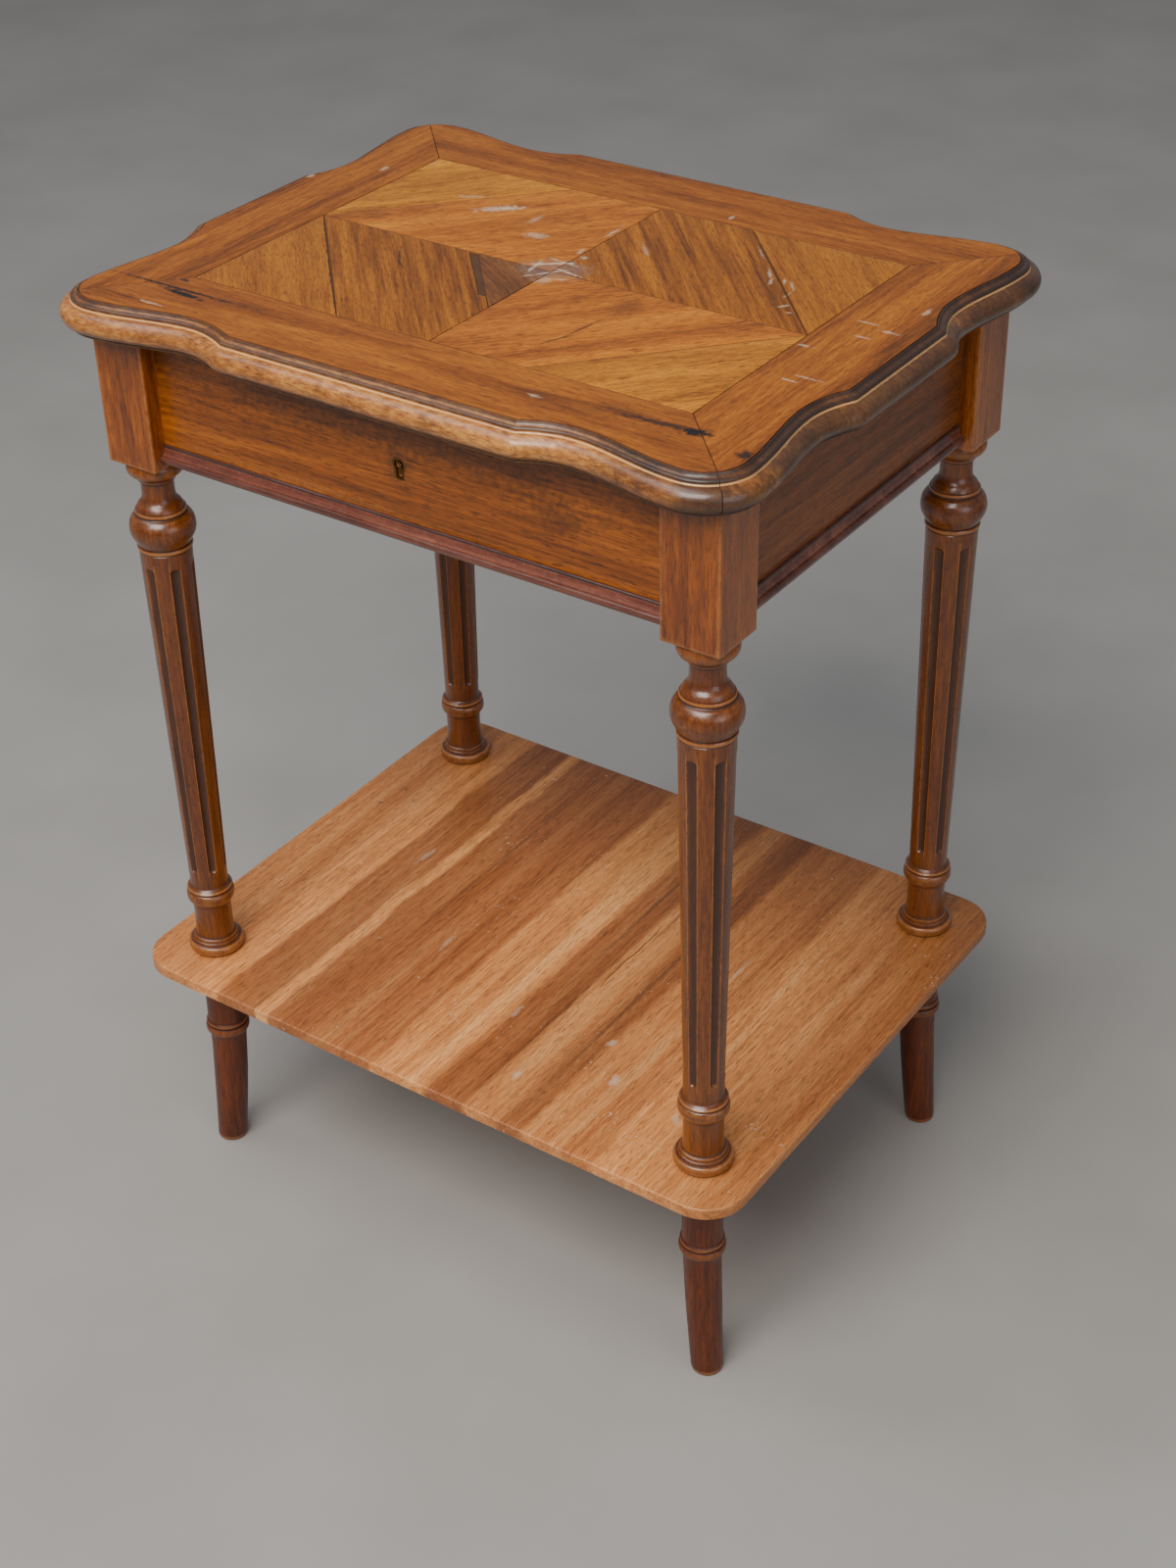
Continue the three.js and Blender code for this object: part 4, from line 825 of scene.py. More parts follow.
def moulding_section():
    """Out from the veneer's edge and down from the top, round the section."""
    thick = LID_TOP - LID_UNDER
    torus = [
        (5.7 + 7.8 * math.sin(math.pi * i / 22), 13.6 - 7.8 * math.cos(math.pi * i / 22))
        for i in range(23)
    ]
    return [
        (0.3, thick), (0.3, 0.9), (0.45, 0.55), (0.8, 0.45), (1.2, 0.6),
        (1.5, 1.2), (1.9, 2.0), (2.5, 2.65), (3.2, 2.95), (3.7, 2.95), (3.95, 2.7),
        (4.4, 2.55), (5.0, 2.7), (5.5, 3.1), (5.85, 3.7), (5.85, 4.3), (5.6, 4.9), (5.35, 5.35),
        *torus, (7.2, 21.5), (7.3, 22.2), (7.3, thick),
    ]


def moulding_relief(section):
    """Proud on the half round, dark with grime and painted shade in the hollow, and darkened underneath
    as painted shade.
    """
    standing = []
    # The lip, hollow and little bead are held dark as grime and painted shade, and the half round's
    # underside is darkened as painted shade.
    for value, (off, down) in zip(proudness(section, reach=1.6, scale=0.42), section):
        value = -value if off > HOLLOW_ENDS else min(-0.5, -value)
        standing.append(value - 0.35 if down > SHADED_UNDERSIDE else value)
    return standing


def run_moulding(side):
    """One mitred length of the moulding."""
    wave, other, turn = SIDES[side]
    section = moulding_section()
    standing = moulding_relief(section)
    loops, relief = [], []
    for along, out, n_along, n_out in side_stations(wave, other, mitre=45 - MITRE_TRIM):
        loop = []
        for off, down in section:
            uneven = 0.12 * noise.noise(Vector((along / 22, down / 6, len(side)))) if off > 1 else 0.0
            reach = off + uneven
            x, y = turn(along + reach * n_along, out + reach * n_out)
            loop.append((x * MM, y * MM, (LID_TOP - down) * MM))
        loops.append(loop)
        relief.append(standing)
    return skin("moulding_run_" + side, loops, relief, moulding_walnut, "lid",
                ["lid_moulding_" + side])


for side in SIDES:
    run_moulding(side)
print("moulding section has", len(moulding_section()), "points")

# %% [markdown]
# ## Beads under the rails
# A thin dark moulding is pinned along the foot of the front and side rails and dies into the legs.
# It is the same kind of run on a straight path, with square ends.

# %% Beads
# Stained and thickly varnished, so it is redder and shinier than the rails and hides its pores.
# The pale pink worn shade laid on the bead's round is a painted highlight.
bead_walnut = wood(
    "stained walnut bead", (0, 0, 0), ("#3d1a12", "#6a3526", "#8d5440"), 20, 2.6,
    worn="#c99a8a", grime="#180a07", stretch=10, streaks=0.4, wear=0.12, gloss=0.24, coat=0.8,
    pores=0.2,
)
BEAD_SECTION = [
    (0, 0), (4.4, 0), (5.2, 0.15), (5.9, 0.7), (6.35, 1.6), (6.5, 2.6), (6.35, 3.6), (5.9, 4.5),
    (5.2, 5.05), (4.2, 5.3), (3.5, 5.5), (3.2, 5.9), (2.6, 6.8), (2.1, 7.9), (1.8, 9.0),
    (1.65, 9.9), (1.8, 10.2), (2.2, 10.5), (2.3, 11.0), (2.1, 11.6), (1.6, 12), (0, 12),
]


def run_bead(side, outward):
    """One bead, against the wall that its side of the box makes."""
    low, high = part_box("bead_" + side)
    long_axis = 0 if outward.x == 0 else 1
    start, end = low[long_axis], high[long_axis]
    foot = low.z
    wall = Vector((
        low.x if outward.x > 0 else high.x, low.y if outward.y > 0 else high.y, 0,
    ))
    standing = [-v for v in proudness(BEAD_SECTION, reach=1.3, scale=0.4)]
    loops, relief = [], []
    for i in range(61):
        along = start + (end - start) * i / 60
        loop = []
        for off, up in BEAD_SECTION:
            uneven = 0.1 * noise.noise(Vector((along * 30, up / 4, len(side)))) if 0 < up < 12 else 0
            spot = wall + outward * (off + uneven) * MM
            spot[long_axis] = along
            spot.z = foot + up * MM
            loop.append(tuple(spot))
        loops.append(loop)
        relief.append(standing)
    return skin("bead_run_" + side, loops, relief, bead_walnut, "frame",
                ["bead_" + side])


run_bead("front", Vector((0, -1, 0)))
run_bead("right", Vector((1, 0, 0)))
run_bead("left", Vector((-1, 0, 0)))
print("three beads")

# %% [markdown]
# ## Thin boards and leaves of veneer
# The veneers and the shelf are flat plates with a free outline. A plate that is only two polygons
# mirrors the light like glass, and real wood never does: it cups and ripples a little. So the face
# is filled with small triangles from a scatter of points, which can then rise and fall by tenths of
# a millimetre, and its rim is eased over a few close loops.

# %% Outlines in the plane
def densified(corners, step):
    """The outline with extra points, so that no edge is longer than step."""
    outline = []
    for i, corner in enumerate(corners):
        a, b = Vector(corner), Vector(corners[(i + 1) % len(corners)])
        count = max(1, math.ceil((b - a).length / step))
        outline += [a.lerp(b, k / count) for k in range(count)]
    return outline


def area_of(outline):
    """The area, positive if the outline runs anticlockwise."""
    after = [*outline[1:], outline[0]]
    return sum(a[0] * b[1] - b[0] * a[1] for a, b in zip(outline, after)) / 2


def drawn_in(outline, distances):
    """The outline moved inwards, by its own distance at each point."""
    count = len(outline)
    moved = []
    for i, spot in enumerate(outline):
        before = (spot - outline[i - 1]).normalized()
        after = (outline[(i + 1) % count] - spot).normalized()
        first, second = Vector((-before.y, before.x)), Vector((-after.y, after.x))
        both = first + second
        moved.append(spot + both * distances[i] / max(0.35, 1 + first.dot(second)))
    return moved


def within(spot, outline):
    """True if the point lies inside the outline."""
    inside = False
    for a, b in zip(outline, [*outline[1:], outline[0]]):
        if (a.y > spot.y) != (b.y > spot.y):
            crossing = a.x + (spot.y - a.y) / (b.y - a.y) * (b.x - a.x)
            inside ^= spot.x < crossing
    return inside


def distance_to(spot, outline):
    """The distance from a point to the nearest edge of the outline."""
    best = 1e9
    for a, b in zip(outline, [*outline[1:], outline[0]]):
        _, share = geometry.intersect_point_line(spot, a, b)
        share = max(0.0, min(1.0, share))
        best = min(best, (a.lerp(b, share) - spot).length)
    return best


UNIT_SQUARE = [Vector(corner) for corner in ((0, 0), (1, 0), (1, 1), (0, 1))]
print("a unit square has area", area_of(UNIT_SQUARE))


# %% Fill an outline
NUDGE = Vector((9.3, 1.5, 7.9))  # parts the scatter across from the scatter up


def fill(outline, holes, spacing):
    """Triangles over the outline, less its holes, with a scatter of points inside."""
    loops = [outline, *holes]
    spots = [spot for loop in loops for spot in loop]
    edges, start = [], 0
    for loop in loops:
        count = len(loop)
        edges += [(start + i, start + (i + 1) % count) for i in range(count)]
        start += count
    xs = [spot.x for spot in outline]
    ys = [spot.y for spot in outline]
    across = int((max(xs) - min(xs)) / spacing)
    up = int((max(ys) - min(ys)) / spacing)
    for i in range(1, across + 1):
        for j in range(1, up + 1):
            cell = Vector((i * 1.7, j * 1.3, 0.5))
            shift = Vector((noise.noise(cell), noise.noise(cell + NUDGE))) * spacing * 0.4
            spot = Vector((min(xs) + i * spacing + shift.x, min(ys) + j * spacing + shift.y))
            clear = within(spot, outline) and distance_to(spot, outline) > spacing * 0.45
            clear = clear and all(
                not within(spot, hole) and distance_to(spot, hole) > spacing * 0.3 for hole in holes
            )
            if clear:
                spots.append(spot)
    made = geometry.delaunay_2d_cdt(spots, edges, [], 1, 1e-9)
    faces = []
    for face in made[2]:
        middle = sum((made[0][i] for i in face), Vector((0, 0))) / len(face)
        if not any(within(middle, hole) for hole in holes):
            faces.append(tuple(made[3][i][0] for i in face))
    return spots, faces


print("a unit square fills with", len(fill(UNIT_SQUARE, [], 0.25)[1]), "triangles")


# %% Plates
def plate(name, outline, low, high, rim, rise, spacing, material, body, stands_for=(),
          holes=()):
    """A plate from low to high. rim lists (inwards, down, relief); rise lifts the face."""
    if area_of(outline) < 0:
        outline = list(reversed(outline))
    holes = [hole if area_of(hole) < 0 else list(reversed(hole)) for hole in holes]
    rings = [(0.0, low, 0.0)]
    rings += [(inwards * MM, high - down * MM, stand) for inwards, down, stand in rim]
    bends = [[outline, *holes]]
    for inwards, _, _ in rings[1:]:
        eased_rim = drawn_in(outline, [inwards] * len(outline))
        crisp = min(inwards, 0.12 * MM)
        bends.append([eased_rim, *[drawn_in(hole, [crisp] * len(hole)) for hole in holes]])
    face_spots, face_triangles = fill(bends[-1][0], bends[-1][1:], spacing)
    ring_length = sum(len(loop) for loop in bends[0])
    points, relief = [], []
    for level, ((_, z, stand), loops) in enumerate(zip(rings, bends)):
        for loop in loops:
            for spot in loop:
                lift = rise(spot.x, spot.y) if level else 0.0
                points.append((spot.x, spot.y, z + lift))
                relief.append(stand)
    top = (len(rings) - 1) * ring_length
    for spot in face_spots[ring_length:]:
        points.append((spot.x, spot.y, high + rise(spot.x, spot.y)))
        relief.append(0.0)
    faces = []
    for level in range(len(rings) - 1):
        start = 0
        for loop in bends[0]:
            count = len(loop)
            for i in range(count):
                a = level * ring_length + start + i
                b = level * ring_length + start + (i + 1) % count
                faces.append((a, b, b + ring_length, a + ring_length))
            start += count
    faces += [tuple(top + i for i in face) for face in face_triangles]
    _, under = fill(bends[0][0], bends[0][1:], 1e9)
    faces += [tuple(reversed(face)) for face in under]
    mesh = bpy.data.meshes.new(name)
    mesh.from_pydata(points, [], faces)
    store_relief(mesh, relief)
    return finish_mesh(name, mesh, material, body, stands_for)


print("plates can be cut")

# %% [markdown]
# ## The veneered top
# Under the polish lie sheets of walnut about a millimetre thick. Four quarters and four corner
# leaves make a lozenge pattern, with the grain running along the slanting seams, and four border
# strips with mitred ends go round it. Two opposite quarters show darker stripes. Age has opened two
# of the slanting seams, a sliver is lost near the middle beside a small let-in triangle, and the
# middle itself is rubbed grey. The lost sliver and the open seams are real gaps between the leaves;
# only stains, scuffs and ink are colour.

# %% Stains and scuffs on the top
PALE_SCUFF = "#d9c6ae"
INK = "#120c0c"
# Each mark: its place and half sizes in millimetres, its turn in degrees, and its strength.
MIDDLE_SCUFFS = (
    ((-8, 10), (13, 1.2), 34, 0.7), ((-2, -4), (12, 0.8), 52, 0.6), ((9, 4), (10, 0.8), -10, 0.6),
    ((-14, 1), (1.0, 9), 8, 0.6), ((12, -8), (7, 0.8), 24, 0.5), ((0, 16), (9, 0.9), -6, 0.5),
    ((3, -14), (5, 5), 20, 0.25), ((-92, 69), (12, 4), 42, 0.5), ((-84, 75), (8, 2), 38, 0.4),
    ((-43, 44), (6, 4), 20, 0.4), ((-4, 74), (1.2, 8), 0, 0.4), ((-3, 36), (1.6, 4), 10, 0.4),
    ((5, 29), (2, 2), 0, 0.4), ((117, 68), (1.0, 7), 35, 0.45), ((124, 57), (1.0, 5), 20, 0.45),
    ((131, 62), (0.8, 4), 30, 0.4), ((139, 58), (0.9, 5), 38, 0.35), ((143, 45), (0.8, 5), 0, 0.3),
    ((150, 29), (3, 1.2), 50, 0.5), ((158, 22), (2, 1), 10, 0.35), ((95, 94), (9, 0.8), -48, 0.25),
    ((-120, 78), (9, 2), 30, 0.25), ((30, 60), (9, 1.2), -48, 0.25), ((-60, 66), (2, 8), 0, 0.25),
)
MIDDLE_CRACKS = (
    ((66, -62), (1.0, 16), -8, 0.75), ((62, -84), (0.9, 12), -24, 0.75),
    ((-96, -31), (0.9, 9), 38, 0.75), ((-88, -40), (0.8, 8), 50, 0.75),
)
BORDER_INK = (
    ((-182, -144), (48, 1.3), 0, 0.9), ((-172, -149), (15, 2.6), -4, 1.0),
    ((-186, -132), (4, 1.6), 0, 0.9), ((-130, -143), (22, 3.0), 4, 0.35),
    ((178, -145), (26, 2.6), 4, 0.85), ((198, -144), (8, 4.2), 20, 1.0),
    ((235, -154), (4, 5), 10, 0.9), ((150, -143), (16, 5), 2, 0.4), ((120, -152), (38, 8), 0, 0.2),
)
BORDER_CHIPS = (
    ((-204, 90), (1.8, 4)), ((-238, 52), (1.6, 3.6)), ((222, 28), (5, 1.4)),
    ((190, -14), (4, 1.2)), ((97, -153), (4, 1.4)), ((47, 136), (1.2, 3)),
    ((214, -52), (7, 0.8)), ((206, -60), (5, 0.8)), ((227, 66), (1.6, 5)),
    ((212, 14), (5, 0.8)), ((205, 34), (6, 0.8)), ((-180, -170), (7, 1.0)),
)


def middle_marks(tree, spots, colour):
    """The worn patch at the middle, scuffs round it, one knot and four short cracks."""
    colour = marked(tree, spots, colour, "#7d6256", 0.4, 0.25, [((-1, 3), (22, 15), 20, 0.6)])
    colour = marked(tree, spots, colour, PALE_SCUFF, 0.7, 0.5, MIDDLE_SCUFFS)
    colour = marked(tree, spots, colour, "#6b3a14", 0.5, 0.5, [((71, -22), (9, 14), 12, 0.55)])
    return marked(tree, spots, colour, "#3a2110", 0.4, 0.4, MIDDLE_CRACKS)


def border_marks(tree, spots, colour):
    """Ink spilt along the front border, and small chips all round."""
    colour = marked(tree, spots, colour, INK, 0.55, 0.45, BORDER_INK)
    chips = [(place, size, 0, 0.42) for place, size in BORDER_CHIPS]
    return marked(tree, spots, colour, PALE_SCUFF, 0.7, 0.5, chips)


print("marks on the top:", len(MIDDLE_SCUFFS + MIDDLE_CRACKS + BORDER_INK + BORDER_CHIPS) + 2)

# %% Veneer woods
# Half sizes of the field inside the border, and where its slanting seams meet its long sides.
FIELD_HALF_X = 183.5
FIELD_HALF_Y = 125.0
FIELD_CUT = 70.0
SLANT = math.degrees(math.atan2(FIELD_HALF_Y, FIELD_HALF_X - FIELD_CUT))


def veneer(name, turn, shades, marks, **more):
    """Sawn walnut leaf under dried-out shellac: golden brown with a soft shine, duller than a leg."""
    settings = dict(worn="#d0a468", grime="#3c1e0b", wear=0.45, gloss=0.45, coat=0.08, pores=0.5)
    return wood(name, (0, 0, turn), shades, marks=marks, **(settings | more))


DARK_SHADES = ("#4e2502", "#8f5007", "#b56e0d")
LIGHT_SHADES = ("#6d3505", "#b26411", "#d2861e")
GOLD_SHADES = ("#7a4006", "#b87213", "#d89023")
TAWNY_SHADES = ("#783e05", "#9e5d0c", "#b67117")
BORDER_SHADES = ("#4a2202", "#8d4b08", "#b46b12")
quarter_dark = veneer("striped walnut veneer", SLANT, DARK_SHADES, middle_marks,
                      figure_mm=9, streak_mm=2.6, stretch=20, streaks=0.5)
quarter_light = veneer("speckled walnut veneer", -SLANT, LIGHT_SHADES, middle_marks,
                       figure_mm=24, streak_mm=2.0, stretch=7, streaks=0.45, pores=0.65)
corner_striped = veneer("tawny walnut veneer, falling", SLANT, TAWNY_SHADES, middle_marks,
                        figure_mm=14, streak_mm=2.2, stretch=14, streaks=0.5)
corner_plain = veneer("golden walnut veneer, rising", -SLANT, GOLD_SHADES, middle_marks,
                      figure_mm=26, streak_mm=1.9, stretch=6, streaks=0.4, pores=0.65)
border_long = veneer("walnut border veneer, long", 0, BORDER_SHADES, border_marks,
                     figure_mm=30, streak_mm=2.6, stretch=11, streaks=0.42)
border_short = veneer("walnut border veneer, short", 90, BORDER_SHADES, border_marks,
                      figure_mm=26, streak_mm=2.4, stretch=13, streaks=0.5)
print("the slanting seams lie at", round(SLANT, 1), "degrees")

# %% Ripples and seams
VENEER_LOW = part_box("border_veneer_front")[0].z
VENEER_HIGH = LID_TOP * MM
FIELD_X, FIELD_Y = FIELD_HALF_X * MM, FIELD_HALF_Y * MM
FIELD_CUT_X = FIELD_CUT * MM
SEAM = 0.13 * MM
VENEER_RIM = ((0, 0.28, -0.8), (0.12, 0.06, -0.6), (0.5, 0.0, 0.0))  # inwards, down, relief
OPEN_SEAMS = ((Vector((-FIELD_X, 0)), Vector((-FIELD_CUT_X, -FIELD_Y))),
              (Vector((FIELD_CUT_X, FIELD_Y)), Vector((FIELD_X, 0))))


def ripple(x, y):
    """How far the polished face stands above or below flat, in metres."""
    broad = noise.noise(Vector((x * 14, y * 14, 3.1)))
    close = noise.noise(Vector((x * 45, y * 45, 7.7)))
    worn = math.exp(-((x + 0.001) ** 2 + (y - 0.003) ** 2) / 0.017**2)
    return (0.10 * broad + 0.05 * close - 0.175 * worn - 0.12) * MM


def seam_gaps(outline):
    """How far each point of a leaf's edge has shrunk back from the seam."""
    gaps = []
    for spot in outline:
        gap = SEAM + 0.12 * MM * max(0.0, noise.noise(Vector((spot.x * 90, spot.y * 90, 0))))
        for start, end in OPEN_SEAMS:
            near, share = geometry.intersect_point_line(spot, start, end)
            if (near - spot).length < 1.2 * MM and 0.02 < share < 0.98:
                ragged = 0.35 + 0.9 * abs(noise.noise(Vector((spot.x * 160, spot.y * 160, 5))))
                gap += ragged * MM * math.sin(math.pi * share) ** 0.5
        gaps.append(gap)
    return gaps


def leaf(name, corners, material, stands_for=()):
    """One leaf of veneer, a hair smaller than its corners say."""
    outline = densified(corners, 2.5 * MM)
    if area_of(outline) < 0:
        outline.reverse()
    outline = drawn_in(outline, seam_gaps(outline))
    return plate(name, outline, VENEER_LOW, VENEER_HIGH, VENEER_RIM, ripple, 7 * MM, material,
                 "lid", stands_for)


print("the top stands within", round(abs(ripple(0, 0)) / MM, 2), "mm of flat at its middle")

# %% Lay the quarters, the corners and the patch
# The let-in triangle at the middle, and the strip lost beside it.
PATCH_X, PATCH_Y = 57 * MM, 66 * MM
LOST = 6.5 * MM
QUARTER = [(0, 0), (FIELD_X, 0), (FIELD_CUT_X, FIELD_Y), (0, FIELD_Y)]
CORNER_LEAF = [(FIELD_X, 0), (FIELD_X, FIELD_Y), (FIELD_CUT_X, FIELD_Y)]
for corner, (sign_x, sign_y) in CORNERS.items():
    dark = sign_x * sign_y > 0
    cut = [(x * sign_x, y * sign_y) for x, y in QUARTER]
    if corner == "front_left":
        slip = Vector((PATCH_Y, -PATCH_X)).normalized() * LOST
        cut = [
            (-PATCH_X - 1.1 * LOST, 0), (-FIELD_X, 0), (-FIELD_CUT_X, -FIELD_Y), (0, -FIELD_Y),
            (0, -PATCH_Y - 0.5 * MM), (-0.2 * PATCH_X, -0.8 * PATCH_Y - 0.4 * MM),
            (-0.23 * PATCH_X - slip.x * 0.75, -0.76 * PATCH_Y + slip.y * 0.75),
        ]
    leaf("leaf_quarter_" + corner, cut, quarter_dark if dark else quarter_light,
         ["quarter_veneer_" + corner])
    cut = [(x * sign_x, y * sign_y) for x, y in CORNER_LEAF]
    leaf("leaf_corner_" + corner, cut, corner_striped if dark else corner_plain,
         ["corner_veneer_" + corner])
patch_walnut = veneer("dark walnut patch", 35, ("#4a260e", "#6e4019", "#8a5724"), middle_marks,
                      figure_mm=12, streak_mm=2.2, stretch=14)
NEAR_MIDDLE = -0.3 * MM
patch = [(NEAR_MIDDLE, NEAR_MIDDLE), (-PATCH_X, NEAR_MIDDLE), (NEAR_MIDDLE, -PATCH_Y)]
leaf("leaf_patch", patch, patch_walnut)
print("the field has its quarters, corners and patch")


# %% Lay the border
def border_corners(side):
    """The border strip's outline: its wavy outer edge and its straight inner one."""
    wave, other, turn = SIDES[side]
    field = (FIELD_X, FIELD_Y) if wave is LONG_WAVE else (FIELD_Y, FIELD_X)
    outer = [turn(a * MM, o * MM) for a, o, _, _ in side_stations(wave, other)]
    inner = [turn(field[0], field[1]), turn(-field[0], field[1])]
    return [*outer, *inner]


for side, (wave, _, _) in SIDES.items():
    leaf("leaf_border_" + side, border_corners(side),
         border_long if wave is LONG_WAVE else border_short, ["border_veneer_" + side])

# %% [markdown]
# ## The shelf
# The low shelf is one thin walnut panel glued up from narrow boards, with the grain running from
# front to back. Each board took the polish a little differently, so the shelf reads as lighter and
# darker bands. The panel has dried out: it sags a hair, and one joint has split open near the
# middle, right through the wood. The corners are holed for the leg pins.

# %% Shelf boards
# The place of each board's edge across the shelf in millimetres, and the tone of the polish there.
BOARD_TONES = (
    (-245, "#ddcbbb"), (-201, "#e2d1c2"), (-199, "#fff6ee"), (-173, "#fff4ea"), (-171, "#bda694"),
    (-138, "#b69e8c"), (-136, "#fffaf4"), (-127, "#fff8f0"), (-125, "#b79d89"), (-36, "#cbb29d"),
    (-32, "#fff3e4"), (14, "#fff4e6"), (20, "#c2aa97"), (46, "#ad9583"), (52, "#e6d6c8"),
    (73, "#dac8b8"), (80, "#ad9583"), (93, "#b69f8d"), (99, "#e2d2c3"), (150, "#dccabb"),
    (156, "#fbf0e4"), (200, "#eaddd0"), (245, "#ccb9a8"),
)
SHELF_REACH = 253.0


def board_tones_and_back_shadow(tree, spots, colour):
    """Each board's own tone, darker again towards the back where dust gathers and where the box's shadow
    is painted in.
    """
    sway = add(tree, "ShaderNodeTexNoise", {"Vector": spots, "Scale": 16.0, "Detail": 3.0})
    parts = add(tree, "ShaderNodeSeparateXYZ", {"Vector": spots}, take="X")
    swayed = add(tree, "ShaderNodeMath", {0: sway, 1: 0.012, 2: parts}, operation="MULTIPLY_ADD")
    across = add(tree, "ShaderNodeMapRange", {
        "Value": swayed,
        "From Min": 0.006 - SHELF_REACH * MM,
        "From Max": 0.006 + SHELF_REACH * MM,
    })
    stops = [((x + SHELF_REACH) / (2 * SHELF_REACH), tone) for x, tone in BOARD_TONES]
    tone = add(tree, "ShaderNodeValToRGB", {"Fac": across}, stops=stops)
    colour = add(tree, "ShaderNodeMix", {0: 1.0, 6: colour, 7: tone}, data_type="RGBA",
                 blend_type="MULTIPLY")
    # The darkening towards the back is dust and a painted shadow of the box above.
    depth = add(tree, "ShaderNodeSeparateXYZ", {"Vector": spots}, take="Y")
    back = add(tree, "ShaderNodeMapRange", {"Value": depth, "From Min": 0.02, "From Max": 0.19})
    return laid_over(tree, colour, back, 0.45, "#4a2812")


def shelf_marks(tree, spots, colour):
    """Pale specks of plaster dust, scuffs, and fine dark lines along the grain."""
    speck = add(tree, "ShaderNodeTexNoise", {"Vector": spots, "Scale": 420.0, "Detail": 2.0})
    patch = add(tree, "ShaderNodeTexNoise", {"Vector": spots, "Scale": 22.0, "Detail": 2.0})
    both = add(tree, "ShaderNodeMath", {0: patch, 1: 0.35, 2: speck}, operation="MULTIPLY_ADD")
    dust = add(tree, "ShaderNodeMapRange", {"Value": both, "From Min": 0.9, "From Max": 0.97})
    colour = laid_over(tree, colour, dust, 0.6, "#e3d2bd")
    colour = marked(tree, spots, colour, PALE_SCUFF, 0.7, 0.5, (
        ((120, -120), (3, 5), 20, 0.5), ((96, -88), (2, 4), -15, 0.45), ((150, -60), (3, 3), 0, 0.4),
        ((60, -150), (2, 6), 5, 0.45), ((176, -130), (2, 5), 30, 0.4), ((20, -96), (1.4, 7), 0, 0.35),
        ((-70, -60), (1.5, 9), 4, 0.3), ((-150, 20), (1.6, 11), -3, 0.3), ((128, 30), (1.3, 14), 2, 0.3),
    ))
    return marked(tree, spots, colour, "#3c1f0e", 0.35, 0.6, (
        ((56, 92), (1.6, 62), 0, 0.5), ((47, -90), (1.2, 44), 0, 0.5), ((84, -20), (1.4, 120), 0, 0.5),
        ((-98, 40), (1.2, 90), 0, 0.5), ((34, 60), (1.5, 70), 0, 0.5),
    ))


# Thinner, paler walnut that light has bleached, with little polish left: a dry, even shine.
shelf_walnut = wood(
    "glued-up walnut panel under old polish", (0, 0, 90), ("#b36f38", "#e49d5c", "#ffc583"), 17, 2.4,
    worn="#d9a668", grime="#3a1d0c", stretch=22, streaks=0.5, wear=0.4, gloss=0.44, coat=0.2,
    boards=board_tones_and_back_shadow, marks=shelf_marks,
)
print("material:", shelf_walnut.name)

# %% Cut the shelf
SHELF_HALF = (253.0, 197.0)
SHELF_ROUND = 30.0
PIN_HOLE = 8.3
SHELF_RIM = ((0, 1.5, -0.1), (0.2, 0.7, 0.1), (0.7, 0.2, 0.3), (1.5, 0.0, 0.1))  # as for a leaf


def rounded_board(half_x, half_y, radius):
    outline = []
    for quarter, (sign_x, sign_y) in enumerate(((1, -1), (1, 1), (-1, 1), (-1, -1))):
        centre = Vector((sign_x * (half_x - radius), sign_y * (half_y - radius)))
        for i in range(17):
            angle = math.radians(-90 + 90 * quarter + 90 * i / 16)
            outline.append((centre + Vector((math.cos(angle), math.sin(angle))) * radius) * MM)
    return outline


def ring_hole(centre, radius, count=28):
    turns = [2 * math.pi * i / count for i in range(count)]
    return [Vector((centre.x + radius * math.cos(t), centre.y + radius * math.sin(t))) for t in turns]


def split_hole(x, start, end):
    """The outline of the open joint: a lens that wanders a little and closes at both ends."""
    sides = []
    for side in (-1, 1):
        for i in range(1, 24):
            share = i / 24
            y = start + (end - start) * share
            sway = 0.5 * math.sin(y / 9) + 0.3 * math.sin(y / 3.7)
            half = 0.12 + 0.33 * math.sin(math.pi * share)
            sides.append((side, Vector((x + sway + side * half, y)) * MM))
    right = [spot for side, spot in sides if side > 0]
    left = [spot for side, spot in sides if side < 0]
    return [Vector((x, start)) * MM, *right, Vector((x, end)) * MM, *reversed(left)]


def sag(x, y):
    """How far the panel's face lies above or below flat, in metres."""
    broad = noise.noise(Vector((x * 9, y * 5, 1.7)))
    close = noise.noise(Vector((x * 40, y * 6, 4.4)))
    hang = math.cos(math.pi * x / 0.56) * math.cos(math.pi * y / 0.46)
    return (0.2 * broad + 0.07 * close - 0.45 * max(0.0, hang) - 0.28) * MM


pins = []
for corner in CORNERS:
    low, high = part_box("leg_" + corner)
    pins.append(ring_hole((low + high) / 2, PIN_HOLE * MM))
shelf_low, shelf_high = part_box("shelf")
shelf = plate(
    "shelf_panel", densified(rounded_board(*SHELF_HALF, SHELF_ROUND), 8 * MM), shelf_low.z,
    shelf_high.z, SHELF_RIM, sag, 12 * MM, shelf_walnut, "frame", ["shelf"],
    holes=[*pins, split_hole(53.0, -44.0, 47.0)],
)
print("shelf:", len(shelf.data.polygons), "faces")

# %% [markdown]
# ## The rails
# Four thin boards make the box. Their outer faces are veneered in walnut with the grain along the
# rail, and the inner faces are plain wood that never saw polish. The frame already has these boards
# right, with their mortises and the keyhole, so they only get their wood. Which side a face belongs
# to follows from its direction: an outer face looks away from the middle of the box.

